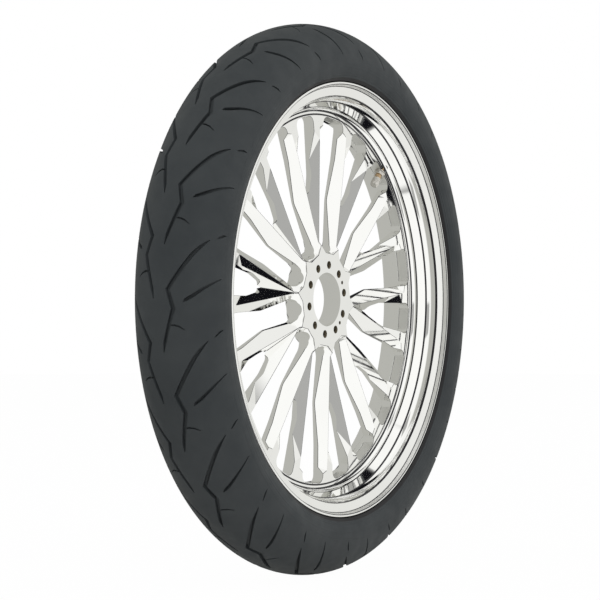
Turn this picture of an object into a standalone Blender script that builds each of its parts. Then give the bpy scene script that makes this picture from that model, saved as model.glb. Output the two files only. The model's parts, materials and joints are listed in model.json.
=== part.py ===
"""Front wheel of a cruiser motorcycle: a tubeless tyre on a chromed wheel with ten forked spokes.

Metres, +Z up. The wheel's centre is the origin and its axle lies along Y.
The dished face, with the valve, looks along -Y.

Sections are lists of (axial, radius) points. Axial places are counted from the tyre's mid-plane
and grow towards the dished face. Angles on the wheel are counted clockwise from the top of that face.
"""

import math

import bmesh
import bpy
from mathutils import Matrix, Vector

MM = 0.001

# Fits and facets
CLEARANCE = 0.3 * MM
WHEEL_FACETS = 28
VALVE_FACETS = 12
BOLT_HOLE_FACETS = 8
FILLET_STEP = 50.0
MERGE_DISTANCE = 0.00001

# Tyre section
BEAD_SEAT_DIAMETER = 482.6 * MM
SECTION_HEIGHT = 84.0 * MM
SECTION_WIDTH = 108.0 * MM
CROWN_RISE = 49.4 * MM
CROWN_ANGLES = (24.0, 45.0, 67.0)
TREAD_THICKNESS = 8.5 * MM
TREAD_EDGE_ANGLE = 6.0
SIDEWALL_THICKNESS = 3.5 * MM
SIDEWALL_BULGE = 1.6 * MM
BELT_THICKNESS = 1.2 * MM
BELT_EDGE_ANGLE = 50.0
BELT_STAGGER = 4.0 * MM
PLY_THICKNESS = 1.6 * MM
LINER_THICKNESS = 1.2 * MM
BEAD_COVER = 3.2 * MM
BEAD_FOOT = 3.0 * MM
BEAD_CORE_SIZE = 6.0 * MM
FILLER_HEIGHT = 15.0 * MM

# Tread pattern: points are (share of the half width, degrees round the tyre from the groove's first bend)
PITCH_COUNT = 18
FIRST_PITCH_ANGLE = 1.9
GROOVE_DEPTH = 4.0 * MM
GROOVE_OVERSHOOT = 2.0 * MM
MAIN_GROOVE_WIDTH = 4.4 * MM
MAIN_GROOVE_SHARES = ((0.787, 8.9), (0.639, 6.8), (0.222, 0.0), (0.333, -3.6), (0.102, -11.4))
SLASH_WIDTH = 3.4 * MM
SLASH_SHARES = ((0.528, -2.1), (0.731, -0.6), (0.935, 1.0))

# Rim
RIM_WIDTH = 76.2 * MM
FLANGE_HEIGHT = 14.0 * MM
FLANGE_THICKNESS = 8.9 * MM
FLANGE_CHAMFER = 3.6 * MM
FLANGE_EDGE = 3.1 * MM
SEAT_WIDTH = 14.0 * MM
SEAT_FALL = 1.1 * MM
WELL_DEPTH = 13.8 * MM
WELL_WIDTH = 22.0 * MM
WELL_WALL = 4.2 * MM
LIP_STEP = (4.4 * MM, 8.3 * MM)
LIP_FOOT = (1.1 * MM, -1.5 * MM)
BARREL_EDGE = (-2.0 * MM, -2.5 * MM)
BARREL_DEPTH = 2.5 * MM
BARREL_MIDDLE = (24.8 * MM, 8.1 * MM)
BARREL_STEP = (16.5 * MM, 13.0 * MM)
REAR_BARREL_STEP = (18.0 * MM, 13.3 * MM)
SHOULDER_WIDTH = 8.7 * MM

# Wheel centre
HUB_BORE_DIAMETER = 63.5 * MM
HUB_FRONT = 14.0 * MM
HUB_BACK = -9.0 * MM
HUB_BACK_RADIUS = 57.0 * MM
HUB_BACK_CHAMFER = 3.0 * MM
RING_FRONT = 8.8 * MM
RING_WIDTH = 6.0 * MM
DISC_BACK = -5.0 * MM
BOLT_CIRCLE_DIAMETER = 82.55 * MM
BOLT_HOLE_DIAMETER = 9.5 * MM
PIN_HOLE_DIAMETER = 4.5 * MM
PIN_HOLE_PAIRS = (1, 3)

# Spokes: ten pairs, with a long slot between pairs and a short one inside each pair
PAIR_COUNT = 10
LONG_SLOT_ANGLE = 6.6
LONG_SLOT_START = 56.0 * MM
LONG_SLOT_ROOT = 14.2 * MM
LONG_SLOT_WAIST = (122.0 * MM, 11.5 * MM)
LONG_SLOT_BELLY = (172.0 * MM, 20.0 * MM)
LONG_SLOT_END = 24.5 * MM
LONG_SLOT_ROOT_FILLET = 13.0 * MM
LONG_SLOT_SIDE_FILLET = 30.0 * MM
SHORT_SLOT_START = 126.0 * MM
SHORT_SLOT_ROOT = 6.0 * MM
SHORT_SLOT_BELLY = (148.0 * MM, 13.0 * MM)
SHORT_SLOT_END = 20.2 * MM
SHORT_SLOT_ROOT_FILLET = 5.5 * MM
SLOT_END_FILLET = 9.0 * MM
FORK_RADIUS = 70.0 * MM
FORK_DROP = 2.5 * MM
FORK_BLUNT = 2.0 * MM
RIDGE_SETBACK = 46.0 * MM
RIDGE_STAND = 0.7 * MM
OUTER_FACET_ANGLE = 36.0
INNER_FACET_ANGLE = 35.0
OUTER_RUN_OUT = (64.0 * MM, 46.0 * MM)
INNER_RUN_OUT = (43.0 * MM, 56.0 * MM)
ARROW_START = (59.5 * MM, 9.0 * MM)
STEP_LEAN = 0.6
CUT_MARGIN = 2.0 * MM

# Valve: places along its axis are counted from the slot's end, inwards to the hub
VALVE_AXIAL = 5.0 * MM
VALVE_SLOT = 1
VALVE_HOLE_RADIUS = 4.3 * MM
SPOT_FACE_DEPTH = 0.4 * MM
SPOT_FACE_RADIUS = 9.0 * MM
STEM_RADIUS = 3.9 * MM
STEM_LENGTH = 20.0 * MM
STEM_HEAD_RADIUS = 8.0 * MM
STEM_HEAD_THICKNESS = 3.0 * MM
STEM_BORE_RADIUS = 2.6 * MM
STEM_BORE_DEPTH = 16.0 * MM
STEM_AIRWAY_RADIUS = 1.4 * MM
SEAL_RADIUS = 7.5 * MM
SEAL_THICKNESS = 2.0 * MM
WASHER_RADIUS = 7.0 * MM
WASHER_THICKNESS = 1.2 * MM
NUT_ACROSS_FLATS = 12.0 * MM
NUT_HEIGHT = 4.5 * MM
CORE_RECESS = 1.0 * MM
CORE_LENGTH = 8.0 * MM
CORE_BORE_RADIUS = 1.0 * MM
PIN_RADIUS = 0.6 * MM
PIN_STAND_OUT = 0.5 * MM
PLUNGER_RADIUS = 1.9 * MM
PLUNGER_THICKNESS = 2.0 * MM
SPRING_RADIUS = 2.0 * MM
SPRING_WIRE_RADIUS = 0.22 * MM
SPRING_TURNS = 4
SPRING_POINTS_PER_TURN = 8
CAP_COVER = 8.0 * MM
CAP_WALL = 1.0 * MM
CAP_TOP = 2.0 * MM
CAP_CHAMFER = 0.8 * MM
CAP_SEAL_THICKNESS = 1.0 * MM

# Places that follow from the sizes above
BEAD_SEAT_RADIUS = BEAD_SEAT_DIAMETER / 2
CROWN_RADIUS = BEAD_SEAT_RADIUS + SECTION_HEIGHT
WIDEST_RADIUS = CROWN_RADIUS - CROWN_RISE
FLANGE_FACE = RIM_WIDTH / 2
FLANGE_TOP = BEAD_SEAT_RADIUS + FLANGE_HEIGHT
FLANGE_LIP = FLANGE_FACE + FLANGE_THICKNESS
WELL_RADIUS = BEAD_SEAT_RADIUS - WELL_DEPTH
CENTRE_SEAT_RADIUS = WELL_RADIUS - WELL_WALL
CENTRE_RADIUS = CENTRE_SEAT_RADIUS - CLEARANCE
SLOT_END_RADIUS = CENTRE_RADIUS - RING_WIDTH
RIDGE_END_RADIUS = SLOT_END_RADIUS - RIDGE_SETBACK
PAIR_ANGLE = 360.0 / PAIR_COUNT
FACET_COSINE = math.cos(math.pi / WHEEL_FACETS)
HEEL = FLANGE_FACE - CLEARANCE
CORE_COVER_FACE = HEEL - BEAD_COVER
CORE_OUTER = CORE_COVER_FACE - CLEARANCE
CORE_INNER = CORE_OUTER - BEAD_CORE_SIZE
PLY_FACE = CORE_INNER - CLEARANCE
FOOT_BOTTOM = BEAD_SEAT_RADIUS + CLEARANCE
FOOT_TOP = FOOT_BOTTOM + BEAD_FOOT
CORE_BOTTOM = FOOT_TOP + CLEARANCE
CORE_TOP = CORE_BOTTOM + BEAD_CORE_SIZE
LINER_OUTSET = -(PLY_THICKNESS + CLEARANCE)
TOE = PLY_FACE + LINER_OUTSET - LINER_THICKNESS
BELT_PACK = 2 * (BELT_THICKNESS + CLEARANCE) + CLEARANCE
PLY_CROWN_DEPTH = TREAD_THICKNESS + BELT_PACK
PLY_SIDE_DEPTH = SIDEWALL_THICKNESS + CLEARANCE


def cross(a, b):
    """Signed area of the parallelogram on two plane vectors."""
    return a.x * b.y - a.y * b.x


def meet(point, direction, other, other_direction):
    """Where two straight lines in a plane cross."""
    reach = cross(other - point, other_direction) / cross(direction, other_direction)
    return point + direction * reach


def mirrored(points):
    """The same section points on the far side of the mid-plane."""
    return [Vector((-p.x, p.y)) for p in points]


def offset_line(points, distance):
    """A line of points moved sideways, to its left, with its corners kept sharp."""
    moved = []
    for i, point in enumerate(points):
        before = points[max(i - 1, 0)]
        after = points[min(i + 1, len(points) - 1)]
        first = (point - before) if i else (after - point)
        last = (after - point) if i < len(points) - 1 else first
        left = Vector((-first.y, first.x)).normalized()
        right = Vector((-last.y, last.x)).normalized()
        corner = (left + right).normalized()
        moved.append(point + corner * (distance / corner.dot(left)))
    return moved


def clear_scene():
    for item in list(bpy.data.objects):
        bpy.data.objects.remove(item, do_unlink=True)


def new_collection(name):
    collection = bpy.data.collections.new(name)
    bpy.context.scene.collection.children.link(collection)
    return collection


def finish(name, colour, roughness, metallic):
    """A plain Principled BSDF material."""
    material = bpy.data.materials.new(name)
    material.use_nodes = True
    shader = material.node_tree.nodes["Principled BSDF"]
    shader.inputs["Base Color"].default_value = (*colour, 1.0)
    shader.inputs["Roughness"].default_value = roughness
    shader.inputs["Metallic"].default_value = metallic
    return material


def place(name, data, parent, material=None, hidden=False):
    """Put a mesh in the scene on its parent, as a part or as a hidden cutter."""
    item = bpy.data.objects.new(name, data)
    (CUTTERS if hidden else PARTS).objects.link(item)
    item.parent = parent
    if material:
        data.materials.append(material)
    if hidden:
        item.hide_render = True
        item.display_type = "WIRE"
    return item


def turned(name, section, parent, material=None, facets=WHEEL_FACETS, closed=True, hidden=False):
    """A section turned about the parent's Z axis; an open section starts and ends on that axis."""
    points = [Vector(p) for p in section]
    area = sum(cross(a, b) for a, b in zip(points, points[1:] + points[:1]))
    if area < 0:
        points.reverse()
    mesh = bpy.data.meshes.new(name)
    edges = [(i, i + 1) for i in range(len(points) - 1)]
    if closed:
        edges.append((len(points) - 1, 0))
    mesh.from_pydata([(p.y, 0.0, p.x) for p in points], edges, [])
    item = place(name, mesh, parent, material, hidden)
    screw = item.modifiers.new("turn", "SCREW")
    screw.axis = "Z"
    screw.angle = math.tau
    screw.steps = facets
    screw.render_steps = facets
    screw.use_merge_vertices = True
    screw.merge_threshold = MERGE_DISTANCE
    return item


def cut(item, cutter, solver="EXACT"):
    """Take a cutter's shape out of a part."""
    boolean = item.modifiers.new(cutter.name, "BOOLEAN")
    boolean.operation = "DIFFERENCE"
    boolean.solver = solver
    boolean.object = cutter


def mesh_of(curve_item):
    """The closed mesh that a curve object stands for; the curve itself is removed."""
    graph = bpy.context.evaluated_depsgraph_get()
    mesh = bpy.data.meshes.new_from_object(curve_item.evaluated_get(graph))
    curve = curve_item.data
    bpy.data.objects.remove(curve_item, do_unlink=True)
    bpy.data.curves.remove(curve)
    solid = bmesh.new()
    solid.from_mesh(mesh)
    bmesh.ops.remove_doubles(solid, verts=solid.verts, dist=MERGE_DISTANCE)
    bmesh.ops.recalc_face_normals(solid, faces=solid.faces)
    solid.to_mesh(mesh)
    solid.free()
    return mesh


def plate(name, outline, low, high):
    """A flat outline with a thickness along Z, as a mesh."""
    curve = bpy.data.curves.new(name, "CURVE")
    curve.dimensions = "2D"
    curve.fill_mode = "BOTH"
    curve.extrude = (high - low) / 2
    spline = curve.splines.new("POLY")
    spline.points.add(len(outline) - 1)
    for point, place_xy in zip(spline.points, outline):
        point.co = (place_xy[0], place_xy[1], 0.0, 1.0)
    spline.use_cyclic_u = True
    item = bpy.data.objects.new(name, curve)
    CUTTERS.objects.link(item)
    bpy.context.view_layer.update()
    mesh = mesh_of(item)
    mesh.transform(Matrix.Translation((0.0, 0.0, (low + high) / 2)))
    return mesh


def hull(name, points):
    """The convex body on a few corner points, as a mesh."""
    body = bmesh.new()
    corners = [body.verts.new(p) for p in points]
    result = bmesh.ops.convex_hull(body, input=corners)
    loose = [e for e in result["geom_interior"] if isinstance(e, bmesh.types.BMVert)]
    bmesh.ops.delete(body, geom=loose, context="VERTS")
    bmesh.ops.recalc_face_normals(body, faces=body.faces)
    mesh = bpy.data.meshes.new(name)
    body.to_mesh(mesh)
    body.free()
    return mesh


def joined(name, meshes_and_places):
    """Several moved copies of meshes as one mesh of separate bodies."""
    body = bmesh.new()
    for mesh, matrix in meshes_and_places:
        known = len(body.verts)
        body.from_mesh(mesh)
        body.verts.ensure_lookup_table()
        bmesh.ops.transform(body, matrix=matrix, verts=body.verts[known:])
    mesh = bpy.data.meshes.new(name)
    body.to_mesh(mesh)
    body.free()
    return mesh


def face_turn(angle):
    """Turn that takes +X to a wheel angle, clockwise from the top of the dished face."""
    return Matrix.Rotation(math.radians(90.0 - angle), 4, "Z")


def ringed(name, mesh, first_angle, parent, first=0, every=1):
    """A cutter repeated for each spoke pair, or for every second one."""
    pairs = range(first, PAIR_COUNT, every)
    places = [(mesh, face_turn(first_angle + PAIR_ANGLE * k)) for k in pairs]
    return place(name, joined(name, places), parent, hidden=True)


def rounded(corners):
    """An outline through corners of (x, y, fillet radius), with each fillet as a short arc."""
    outline = []
    count = len(corners)
    for i, (x, y, radius) in enumerate(corners):
        corner = Vector((x, y))
        before = (Vector(corners[i - 1][:2]) - corner).normalized()
        after = (Vector(corners[(i + 1) % count][:2]) - corner).normalized()
        half = before.angle(after) / 2
        centre = corner + (before + after).normalized() * (radius / math.sin(half))
        start = corner + before * (radius / math.tan(half)) - centre
        sweep = math.copysign(math.pi - 2 * half, cross(after, before))
        steps = math.ceil(abs(math.degrees(sweep)) / FILLET_STEP)
        for step in range(steps + 1):
            turn = Matrix.Rotation(sweep * step / steps, 2)
            outline.append(tuple(centre + turn @ start))
    return outline


def crown_point(degrees, side_depth=0.0, crown_depth=0.0):
    """A point of the tyre's elliptic crown, or of a layer under it; 0 degrees is the widest point."""
    angle = math.radians(degrees)
    half_width = SECTION_WIDTH / 2 - side_depth
    rise = CROWN_RISE - crown_depth
    return Vector((half_width * math.cos(angle), WIDEST_RADIUS + rise * math.sin(angle)))


def crown_at_radius(radius):
    """The outer surface's point at a radius above the widest point."""
    return crown_point(math.degrees(math.asin((radius - WIDEST_RADIUS) / CROWN_RISE)))


def at_radius(line, radius):
    """The point of a rising line of section points at a radius."""
    for a, b in zip(line, line[1:]):
        if a.y <= radius <= b.y:
            return a.lerp(b, (radius - a.y) / (b.y - a.y))
    return line[-1]


def ply_line():
    """Outer face of the carcass ply, from the front bead over the crown to the rear bead."""
    depths = (PLY_SIDE_DEPTH, PLY_CROWN_DEPTH)
    front = [
        Vector((PLY_FACE, CORE_BOTTOM)),
        Vector((PLY_FACE, CORE_TOP)),
        crown_point(0.0, *depths),
        crown_point(BELT_EDGE_ANGLE, *depths),
    ]
    return front + [crown_point(90.0, *depths)] + mirrored(front)[::-1]


def layer(line, near, far):
    """Section of a sheet that lies between two offsets from a line; the cavity is on the left."""
    return offset_line(line, -far) + offset_line(line, -near)[::-1]


def belt_line(line, trim):
    """The crown stretch of the ply line that a belt covers."""
    edge, crown, far_edge = line[3:6]
    run = (crown - edge).normalized() * trim
    return [edge + run, crown, far_edge + Vector((-run.x, run.y))]


def tread_section(line):
    """Tread cap: elliptic outside, with a pocket for the belts inside."""
    low = crown_point(TREAD_EDGE_ANGLE).y + CLEARANCE / 2
    outer = [crown_at_radius(low)] + [crown_point(a) for a in CROWN_ANGLES]
    outer += [crown_point(90.0)] + mirrored(outer)[::-1]
    pocket_line = belt_line(line, -CLEARANCE)
    pocket_floor = offset_line(pocket_line, -CLEARANCE)[0]
    pocket_roof = offset_line(pocket_line, -BELT_PACK)
    inner_edge = at_radius(offset_line(line[2:5], -CLEARANCE), low)
    inner = [inner_edge, pocket_floor, pocket_roof[0]]
    return outer + mirrored(inner) + [pocket_roof[1]] + inner[::-1]


def filler_section(line):
    """Bead filler: a wedge on the bead core, against the ply."""
    beside_ply = offset_line(line[1:3], -CLEARANCE)
    base = CORE_TOP + CLEARANCE
    return [
        at_radius(beside_ply, base),
        Vector((CORE_OUTER, base)),
        at_radius(beside_ply, base + FILLER_HEIGHT),
    ]


def sidewall_section(line):
    """Sidewall rubber, down over the rim flange and round the bead to its toe."""
    top = crown_point(TREAD_EDGE_ANGLE).y - CLEARANCE / 2
    widest = crown_point(0.0)
    lip = Vector((FLANGE_LIP + CLEARANCE, FLANGE_TOP + 4 * CLEARANCE))
    bulge = (widest + lip) / 2 + Vector((SIDEWALL_BULGE, 0.0))
    beside_ply = offset_line(line[1:5], -CLEARANCE)
    base, corner, apex = filler_section(line)
    beside_filler = offset_line([corner, apex], -CLEARANCE)
    slope = beside_filler[1] - beside_filler[0]
    filler_top = meet(beside_filler[0], slope, beside_ply[0], beside_ply[1] - beside_ply[0])
    filler_foot = meet(beside_filler[0], slope, Vector((CORE_COVER_FACE, base.y)), Vector((0.0, 1.0)))
    chamfer_gap = CLEARANCE * math.tan(math.pi / 8)
    return [
        crown_at_radius(top),
        widest,
        bulge,
        lip,
        Vector((FLANGE_FACE + FLANGE_CHAMFER - chamfer_gap, FLANGE_TOP + CLEARANCE)),
        Vector((HEEL, FLANGE_TOP - FLANGE_CHAMFER + chamfer_gap)),
        Vector((HEEL, FOOT_BOTTOM)),
        Vector((TOE, FOOT_BOTTOM)),
        Vector((TOE, FOOT_TOP)),
        Vector((CORE_COVER_FACE, FOOT_TOP)),
        filler_foot,
        filler_top,
        beside_ply[1],
        at_radius(beside_ply[1:], top),
    ]


def core_section():
    """Bead core: a square bundle of wires."""
    return [
        Vector((CORE_INNER, CORE_TOP)),
        Vector((CORE_OUTER, CORE_TOP)),
        Vector((CORE_OUTER, CORE_BOTTOM)),
        Vector((CORE_INNER, CORE_BOTTOM)),
    ]


def groove_outline(points, width):
    """A groove drawn flat: (way round the tyre, axial) points either side of its bends, ends sharp."""
    middle = []
    for share, degrees in points:
        axial = share * SECTION_WIDTH / 2
        middle.append(Vector((math.radians(degrees) * crown_radius(axial), axial)))
    one_side = offset_line(middle, width / 2)[1:-1]
    other_side = offset_line(middle, -width / 2)[1:-1]
    return [middle[0]] + one_side + [middle[-1]] + other_side[::-1]


def crown_radius(axial):
    """Radius of the tyre's outer surface at an axial place."""
    share = axial / (SECTION_WIDTH / 2)
    return WIDEST_RADIUS + CROWN_RISE * math.sqrt(1.0 - share * share)


def wrapped(mesh, first_angle, side):
    """A copy of a flat groove bent on to the crown; side is 1 on the dished face and -1 behind it."""
    copy = mesh.copy()
    for vertex in copy.vertices:
        way_round, axial, height = vertex.co
        radius = crown_radius(axial)
        slope = Vector((axial / (SECTION_WIDTH / 2) ** 2, (radius - WIDEST_RADIUS) / CROWN_RISE**2))
        normal = slope.normalized()
        turn = math.radians(first_angle) + way_round / radius
        reach = radius + normal.y * height
        axial_place = side * (axial + normal.x * height)
        vertex.co = (-reach * math.cos(turn), reach * math.sin(turn), axial_place)
    if side > 0:
        copy.flip_normals()
    return copy


def tread_grooves(parent):
    """All grooves of the tread, as one cutter; the rear half is the front half mirrored and half a pitch on."""
    pitch = 360.0 / PITCH_COUNT
    still = Matrix.Identity(4)
    grooves = []
    for points, width in ((MAIN_GROOVE_SHARES, MAIN_GROOVE_WIDTH), (SLASH_SHARES, SLASH_WIDTH)):
        flat = plate("groove", groove_outline(points, width), -GROOVE_DEPTH, GROOVE_OVERSHOOT)
        for k in range(PITCH_COUNT):
            angle = FIRST_PITCH_ANGLE + pitch * k
            grooves.append((wrapped(flat, angle, 1), still))
            grooves.append((wrapped(flat, angle + pitch / 2, -1), still))
    return place("tread_grooves", joined("tread_grooves", grooves), parent, hidden=True)


def rim_section():
    """Rim hoop: two flanges, bead seats, a drop-centre well and a shoulder for the wheel centre."""
    outside = [
        Vector((FLANGE_LIP, FLANGE_TOP)),
        Vector((FLANGE_FACE + FLANGE_CHAMFER, FLANGE_TOP)),
        Vector((FLANGE_FACE, FLANGE_TOP - FLANGE_CHAMFER)),
        Vector((FLANGE_FACE, BEAD_SEAT_RADIUS)),
        Vector((FLANGE_FACE - SEAT_WIDTH, BEAD_SEAT_RADIUS - SEAT_FALL)),
        Vector((WELL_WIDTH / 2, WELL_RADIUS)),
    ]
    heel = Vector((FLANGE_FACE, BEAD_SEAT_RADIUS))
    lip_edge = Vector((FLANGE_LIP, FLANGE_TOP - FLANGE_EDGE))
    front = [
        lip_edge,
        heel + Vector(LIP_STEP),
        heel + Vector(LIP_FOOT),
        heel + Vector(BARREL_EDGE),
        Vector((BARREL_MIDDLE[0], BEAD_SEAT_RADIUS - BARREL_MIDDLE[1])),
        Vector((BARREL_STEP[0], BEAD_SEAT_RADIUS - BARREL_STEP[1])),
        Vector((RING_FRONT, CENTRE_SEAT_RADIUS)),
    ]
    shoulder_front = DISC_BACK - CLEARANCE
    rear = [
        Vector((shoulder_front, CENTRE_SEAT_RADIUS)),
        Vector((shoulder_front, SLOT_END_RADIUS)),
        Vector((shoulder_front - SHOULDER_WIDTH, SLOT_END_RADIUS)),
        Vector((-REAR_BARREL_STEP[0], BEAD_SEAT_RADIUS - REAR_BARREL_STEP[1])),
    ]
    rear += mirrored([heel - Vector((0.0, BARREL_DEPTH)), lip_edge])
    return outside + mirrored(outside)[::-1] + rear[::-1] + front[::-1]


def centre_section():
    """Blank of the wheel centre: hub, disc and the outer ring that the rim holds."""
    bore = HUB_BORE_DIAMETER / 2
    return [
        Vector((HUB_FRONT, bore)),
        Vector((HUB_FRONT, FORK_RADIUS)),
        Vector((RING_FRONT, RIDGE_END_RADIUS)),
        Vector((RING_FRONT, CENTRE_RADIUS)),
        Vector((DISC_BACK, CENTRE_RADIUS)),
        Vector((DISC_BACK, HUB_BACK_RADIUS + HUB_BACK_CHAMFER)),
        Vector((HUB_BACK, HUB_BACK_RADIUS)),
        Vector((HUB_BACK, bore)),
    ]


def long_slot_outline():
    """Slot between two spoke pairs, along +X."""
    half = [
        (LONG_SLOT_START, LONG_SLOT_ROOT, LONG_SLOT_ROOT_FILLET),
        (*LONG_SLOT_WAIST, LONG_SLOT_SIDE_FILLET),
        (*LONG_SLOT_BELLY, LONG_SLOT_SIDE_FILLET),
        (SLOT_END_RADIUS, LONG_SLOT_END, SLOT_END_FILLET),
    ]
    return rounded(half + [(x, -y, radius) for x, y, radius in half[::-1]])


def short_slot_outline():
    """Slot between the two branches of a spoke pair, along +X."""
    half = [
        (SHORT_SLOT_START, SHORT_SLOT_ROOT, SHORT_SLOT_ROOT_FILLET),
        (*SHORT_SLOT_BELLY, LONG_SLOT_SIDE_FILLET),
        (SLOT_END_RADIUS, SHORT_SLOT_END, SLOT_END_FILLET),
    ]
    return rounded(half + [(x, -y, radius) for x, y, radius in half[::-1]])


def facet_height(ridge, slope, x, y):
    """Height of the plane that falls from a ridge line towards the X axis."""
    start, end = ridge
    run = (end - start).to_2d()
    along = run.normalized()
    offset = Vector((x, y)) - start.to_2d()
    fall = slope * (offset.x * along.y - offset.y * along.x)
    return start.z + (end.z - start.z) * offset.dot(along) / run.length - fall


def facet_cutter(name, ridge, facet_angle, run_out, inner_corners, inner_edge):
    """Trough along +X whose two sloping sides are the facets that fall from the ridges.

    The run-out says how far before the ridge's end the trough's floor starts to rise, and how far
    past it the floor is level. inner_corners are the plan corners of the trough's leaning inner
    end, and inner_edge is a plan direction that this end follows from the ridge's start.
    """
    start, end = ridge
    slope = math.tan(math.radians(facet_angle))
    top = HUB_FRONT + CUT_MARGIN
    along = (end - start).to_2d().normalized()
    outward = Vector((-along.y, along.x))
    reach = (top - end.z) / slope
    upper_start = meet(start.to_2d(), inner_edge, start.to_2d() + outward * reach, along)
    upper_end = end.to_2d() + outward * reach
    floor_end = Vector((end.x - run_out[0], 0.0))
    points = [(end.x + run_out[1], 0.0, end.z)]
    for corner in (*inner_corners, upper_start, upper_end, floor_end):
        points.append((*corner, facet_height(ridge, slope, *corner)))
    for corner in inner_corners:
        lean = STEP_LEAN * (top - facet_height(ridge, slope, *corner))
        points.append((corner.x - lean, corner.y, top))
    points.append((*upper_start, max(top, facet_height(ridge, slope, *upper_start))))
    return hull(name, points + [(x, -y, z) for x, y, z in points if y > 0.0])


def spoke_ridge(slot_offset):
    """Ridge of one spoke branch, seen from an axis that lies a number of degrees off the pair's own."""
    half_pair = math.radians(PAIR_ANGLE / 2)
    start_angle = math.radians(slot_offset)
    end_angle = abs(start_angle - half_pair / 2)
    start = Vector((FORK_RADIUS * math.cos(start_angle), FORK_RADIUS * math.sin(start_angle), 0.0))
    end = Vector((RIDGE_END_RADIUS * math.cos(end_angle), RIDGE_END_RADIUS * math.sin(end_angle), 0.0))
    start.z = HUB_FRONT - FORK_DROP
    end.z = RING_FRONT + RIDGE_STAND
    return start, end


def wheel_centre(parent, material):
    """Hub, forked spokes and outer ring, cut from one turned blank."""
    centre = turned("wheel_centre", centre_section(), parent, material)
    pair_start = LONG_SLOT_ANGLE + PAIR_ANGLE / 2
    low = HUB_BACK - CUT_MARGIN
    high = HUB_FRONT + CUT_MARGIN

    outer_ridge = spoke_ridge(PAIR_ANGLE / 2)
    arrow = Vector(ARROW_START)
    corners = [Vector((arrow.x, 0.0)), arrow]
    trough = facet_cutter(
        "outer_facets",
        outer_ridge,
        OUTER_FACET_ANGLE,
        OUTER_RUN_OUT,
        corners,
        outer_ridge[0].to_2d() - arrow,
    )
    for first in (0, 1):
        name = f"outer_facets_{first}"
        cut(centre, ringed(name, trough, LONG_SLOT_ANGLE, parent, first, every=2), "MANIFOLD")

    inner_ridge = spoke_ridge(0.0)
    corners = [Vector((FORK_RADIUS - FORK_BLUNT, 0.0))]
    trough = facet_cutter(
        "inner_facets", inner_ridge, INNER_FACET_ANGLE, INNER_RUN_OUT, corners, Vector((0.0, 1.0))
    )
    cut(centre, ringed("inner_facets", trough, pair_start, parent), "MANIFOLD")

    slot = plate("long_slots", long_slot_outline(), low, high)
    cut(centre, ringed("long_slots", slot, LONG_SLOT_ANGLE, parent), "MANIFOLD")
    slot = plate("short_slots", short_slot_outline(), low, high)
    cut(centre, ringed("short_slots", slot, pair_start, parent), "MANIFOLD")

    bolt_radius = BOLT_CIRCLE_DIAMETER / 2
    hole = drill(BOLT_HOLE_DIAMETER / 2, low, high, bolt_radius)
    cut(centre, ringed("bolt_holes", hole, LONG_SLOT_ANGLE, parent), "MANIFOLD")
    hole = drill(PIN_HOLE_DIAMETER / 2, low, high, bolt_radius)
    turns = [(hole, face_turn(pair_start + PAIR_ANGLE * k)) for k in PIN_HOLE_PAIRS]
    cut(centre, place("pin_holes", joined("pin_holes", turns), parent, hidden=True), "MANIFOLD")
    return centre


def drill(radius, low, high, reach):
    """A round cutter that stands at a distance along +X."""
    body = bmesh.new()
    matrix = Matrix.Translation((reach, 0.0, (low + high) / 2))
    bmesh.ops.create_cone(
        body,
        cap_ends=True,
        segments=BOLT_HOLE_FACETS,
        radius1=radius,
        radius2=radius,
        depth=high - low,
        matrix=matrix,
    )
    mesh = bpy.data.meshes.new("drill")
    body.to_mesh(mesh)
    body.free()
    return mesh


def valve_frame(parent):
    """Empty on the slot's end where the valve comes out, with Z towards the hub."""
    angle = math.radians(LONG_SLOT_ANGLE + PAIR_ANGLE * VALVE_SLOT)
    radial = Vector((math.sin(angle), math.cos(angle), 0.0))
    axial = Vector((0.0, 0.0, 1.0))
    inward = -radial
    side = inward.cross(axial)
    frame = bpy.data.objects.new("valve_frame", None)
    PARTS.objects.link(frame)
    frame.parent = parent
    frame.rotation_euler = Matrix((axial, side, inward)).transposed().to_euler()
    frame.location = radial * SLOT_END_RADIUS + axial * VALVE_AXIAL
    return frame


def valve_hole(frame, spot_face):
    """Stepped drill: the valve's hole, and the flat for its seal inside the well."""
    deep = spot_face - SPOT_FACE_RADIUS
    section = [
        Vector((SLOT_END_FILLET, 0.0)),
        Vector((SLOT_END_FILLET, VALVE_HOLE_RADIUS)),
        Vector((spot_face, VALVE_HOLE_RADIUS)),
        Vector((spot_face, SPOT_FACE_RADIUS)),
        Vector((deep, SPOT_FACE_RADIUS)),
        Vector((deep, 0.0)),
    ]
    return turned("valve_hole", section, frame, facets=VALVE_FACETS, closed=False, hidden=True)


def ring(name, low, high, inner, outer, frame, material):
    """A plain ring round the valve's axis."""
    section = [Vector(p) for p in ((high, inner), (high, outer), (low, outer), (low, inner))]
    return turned(name, section, frame, material, facets=VALVE_FACETS)


def valve_stem(frame, head_top, material):
    """Clamp-in stem: a head inside the well, a tube through rim and ring, and a bored end for the core."""
    shoulder = STEM_LENGTH - STEM_BORE_DEPTH
    head_bottom = head_top - STEM_HEAD_THICKNESS
    section = [
        (STEM_LENGTH, STEM_BORE_RADIUS),
        (STEM_LENGTH, STEM_RADIUS),
        (head_top, STEM_RADIUS),
        (head_top, STEM_HEAD_RADIUS),
        (head_bottom, STEM_HEAD_RADIUS),
        (head_bottom, STEM_AIRWAY_RADIUS),
        (shoulder, STEM_AIRWAY_RADIUS),
        (shoulder, STEM_BORE_RADIUS),
    ]
    return turned("valve_stem", section, frame, material, facets=VALVE_FACETS)


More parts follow.
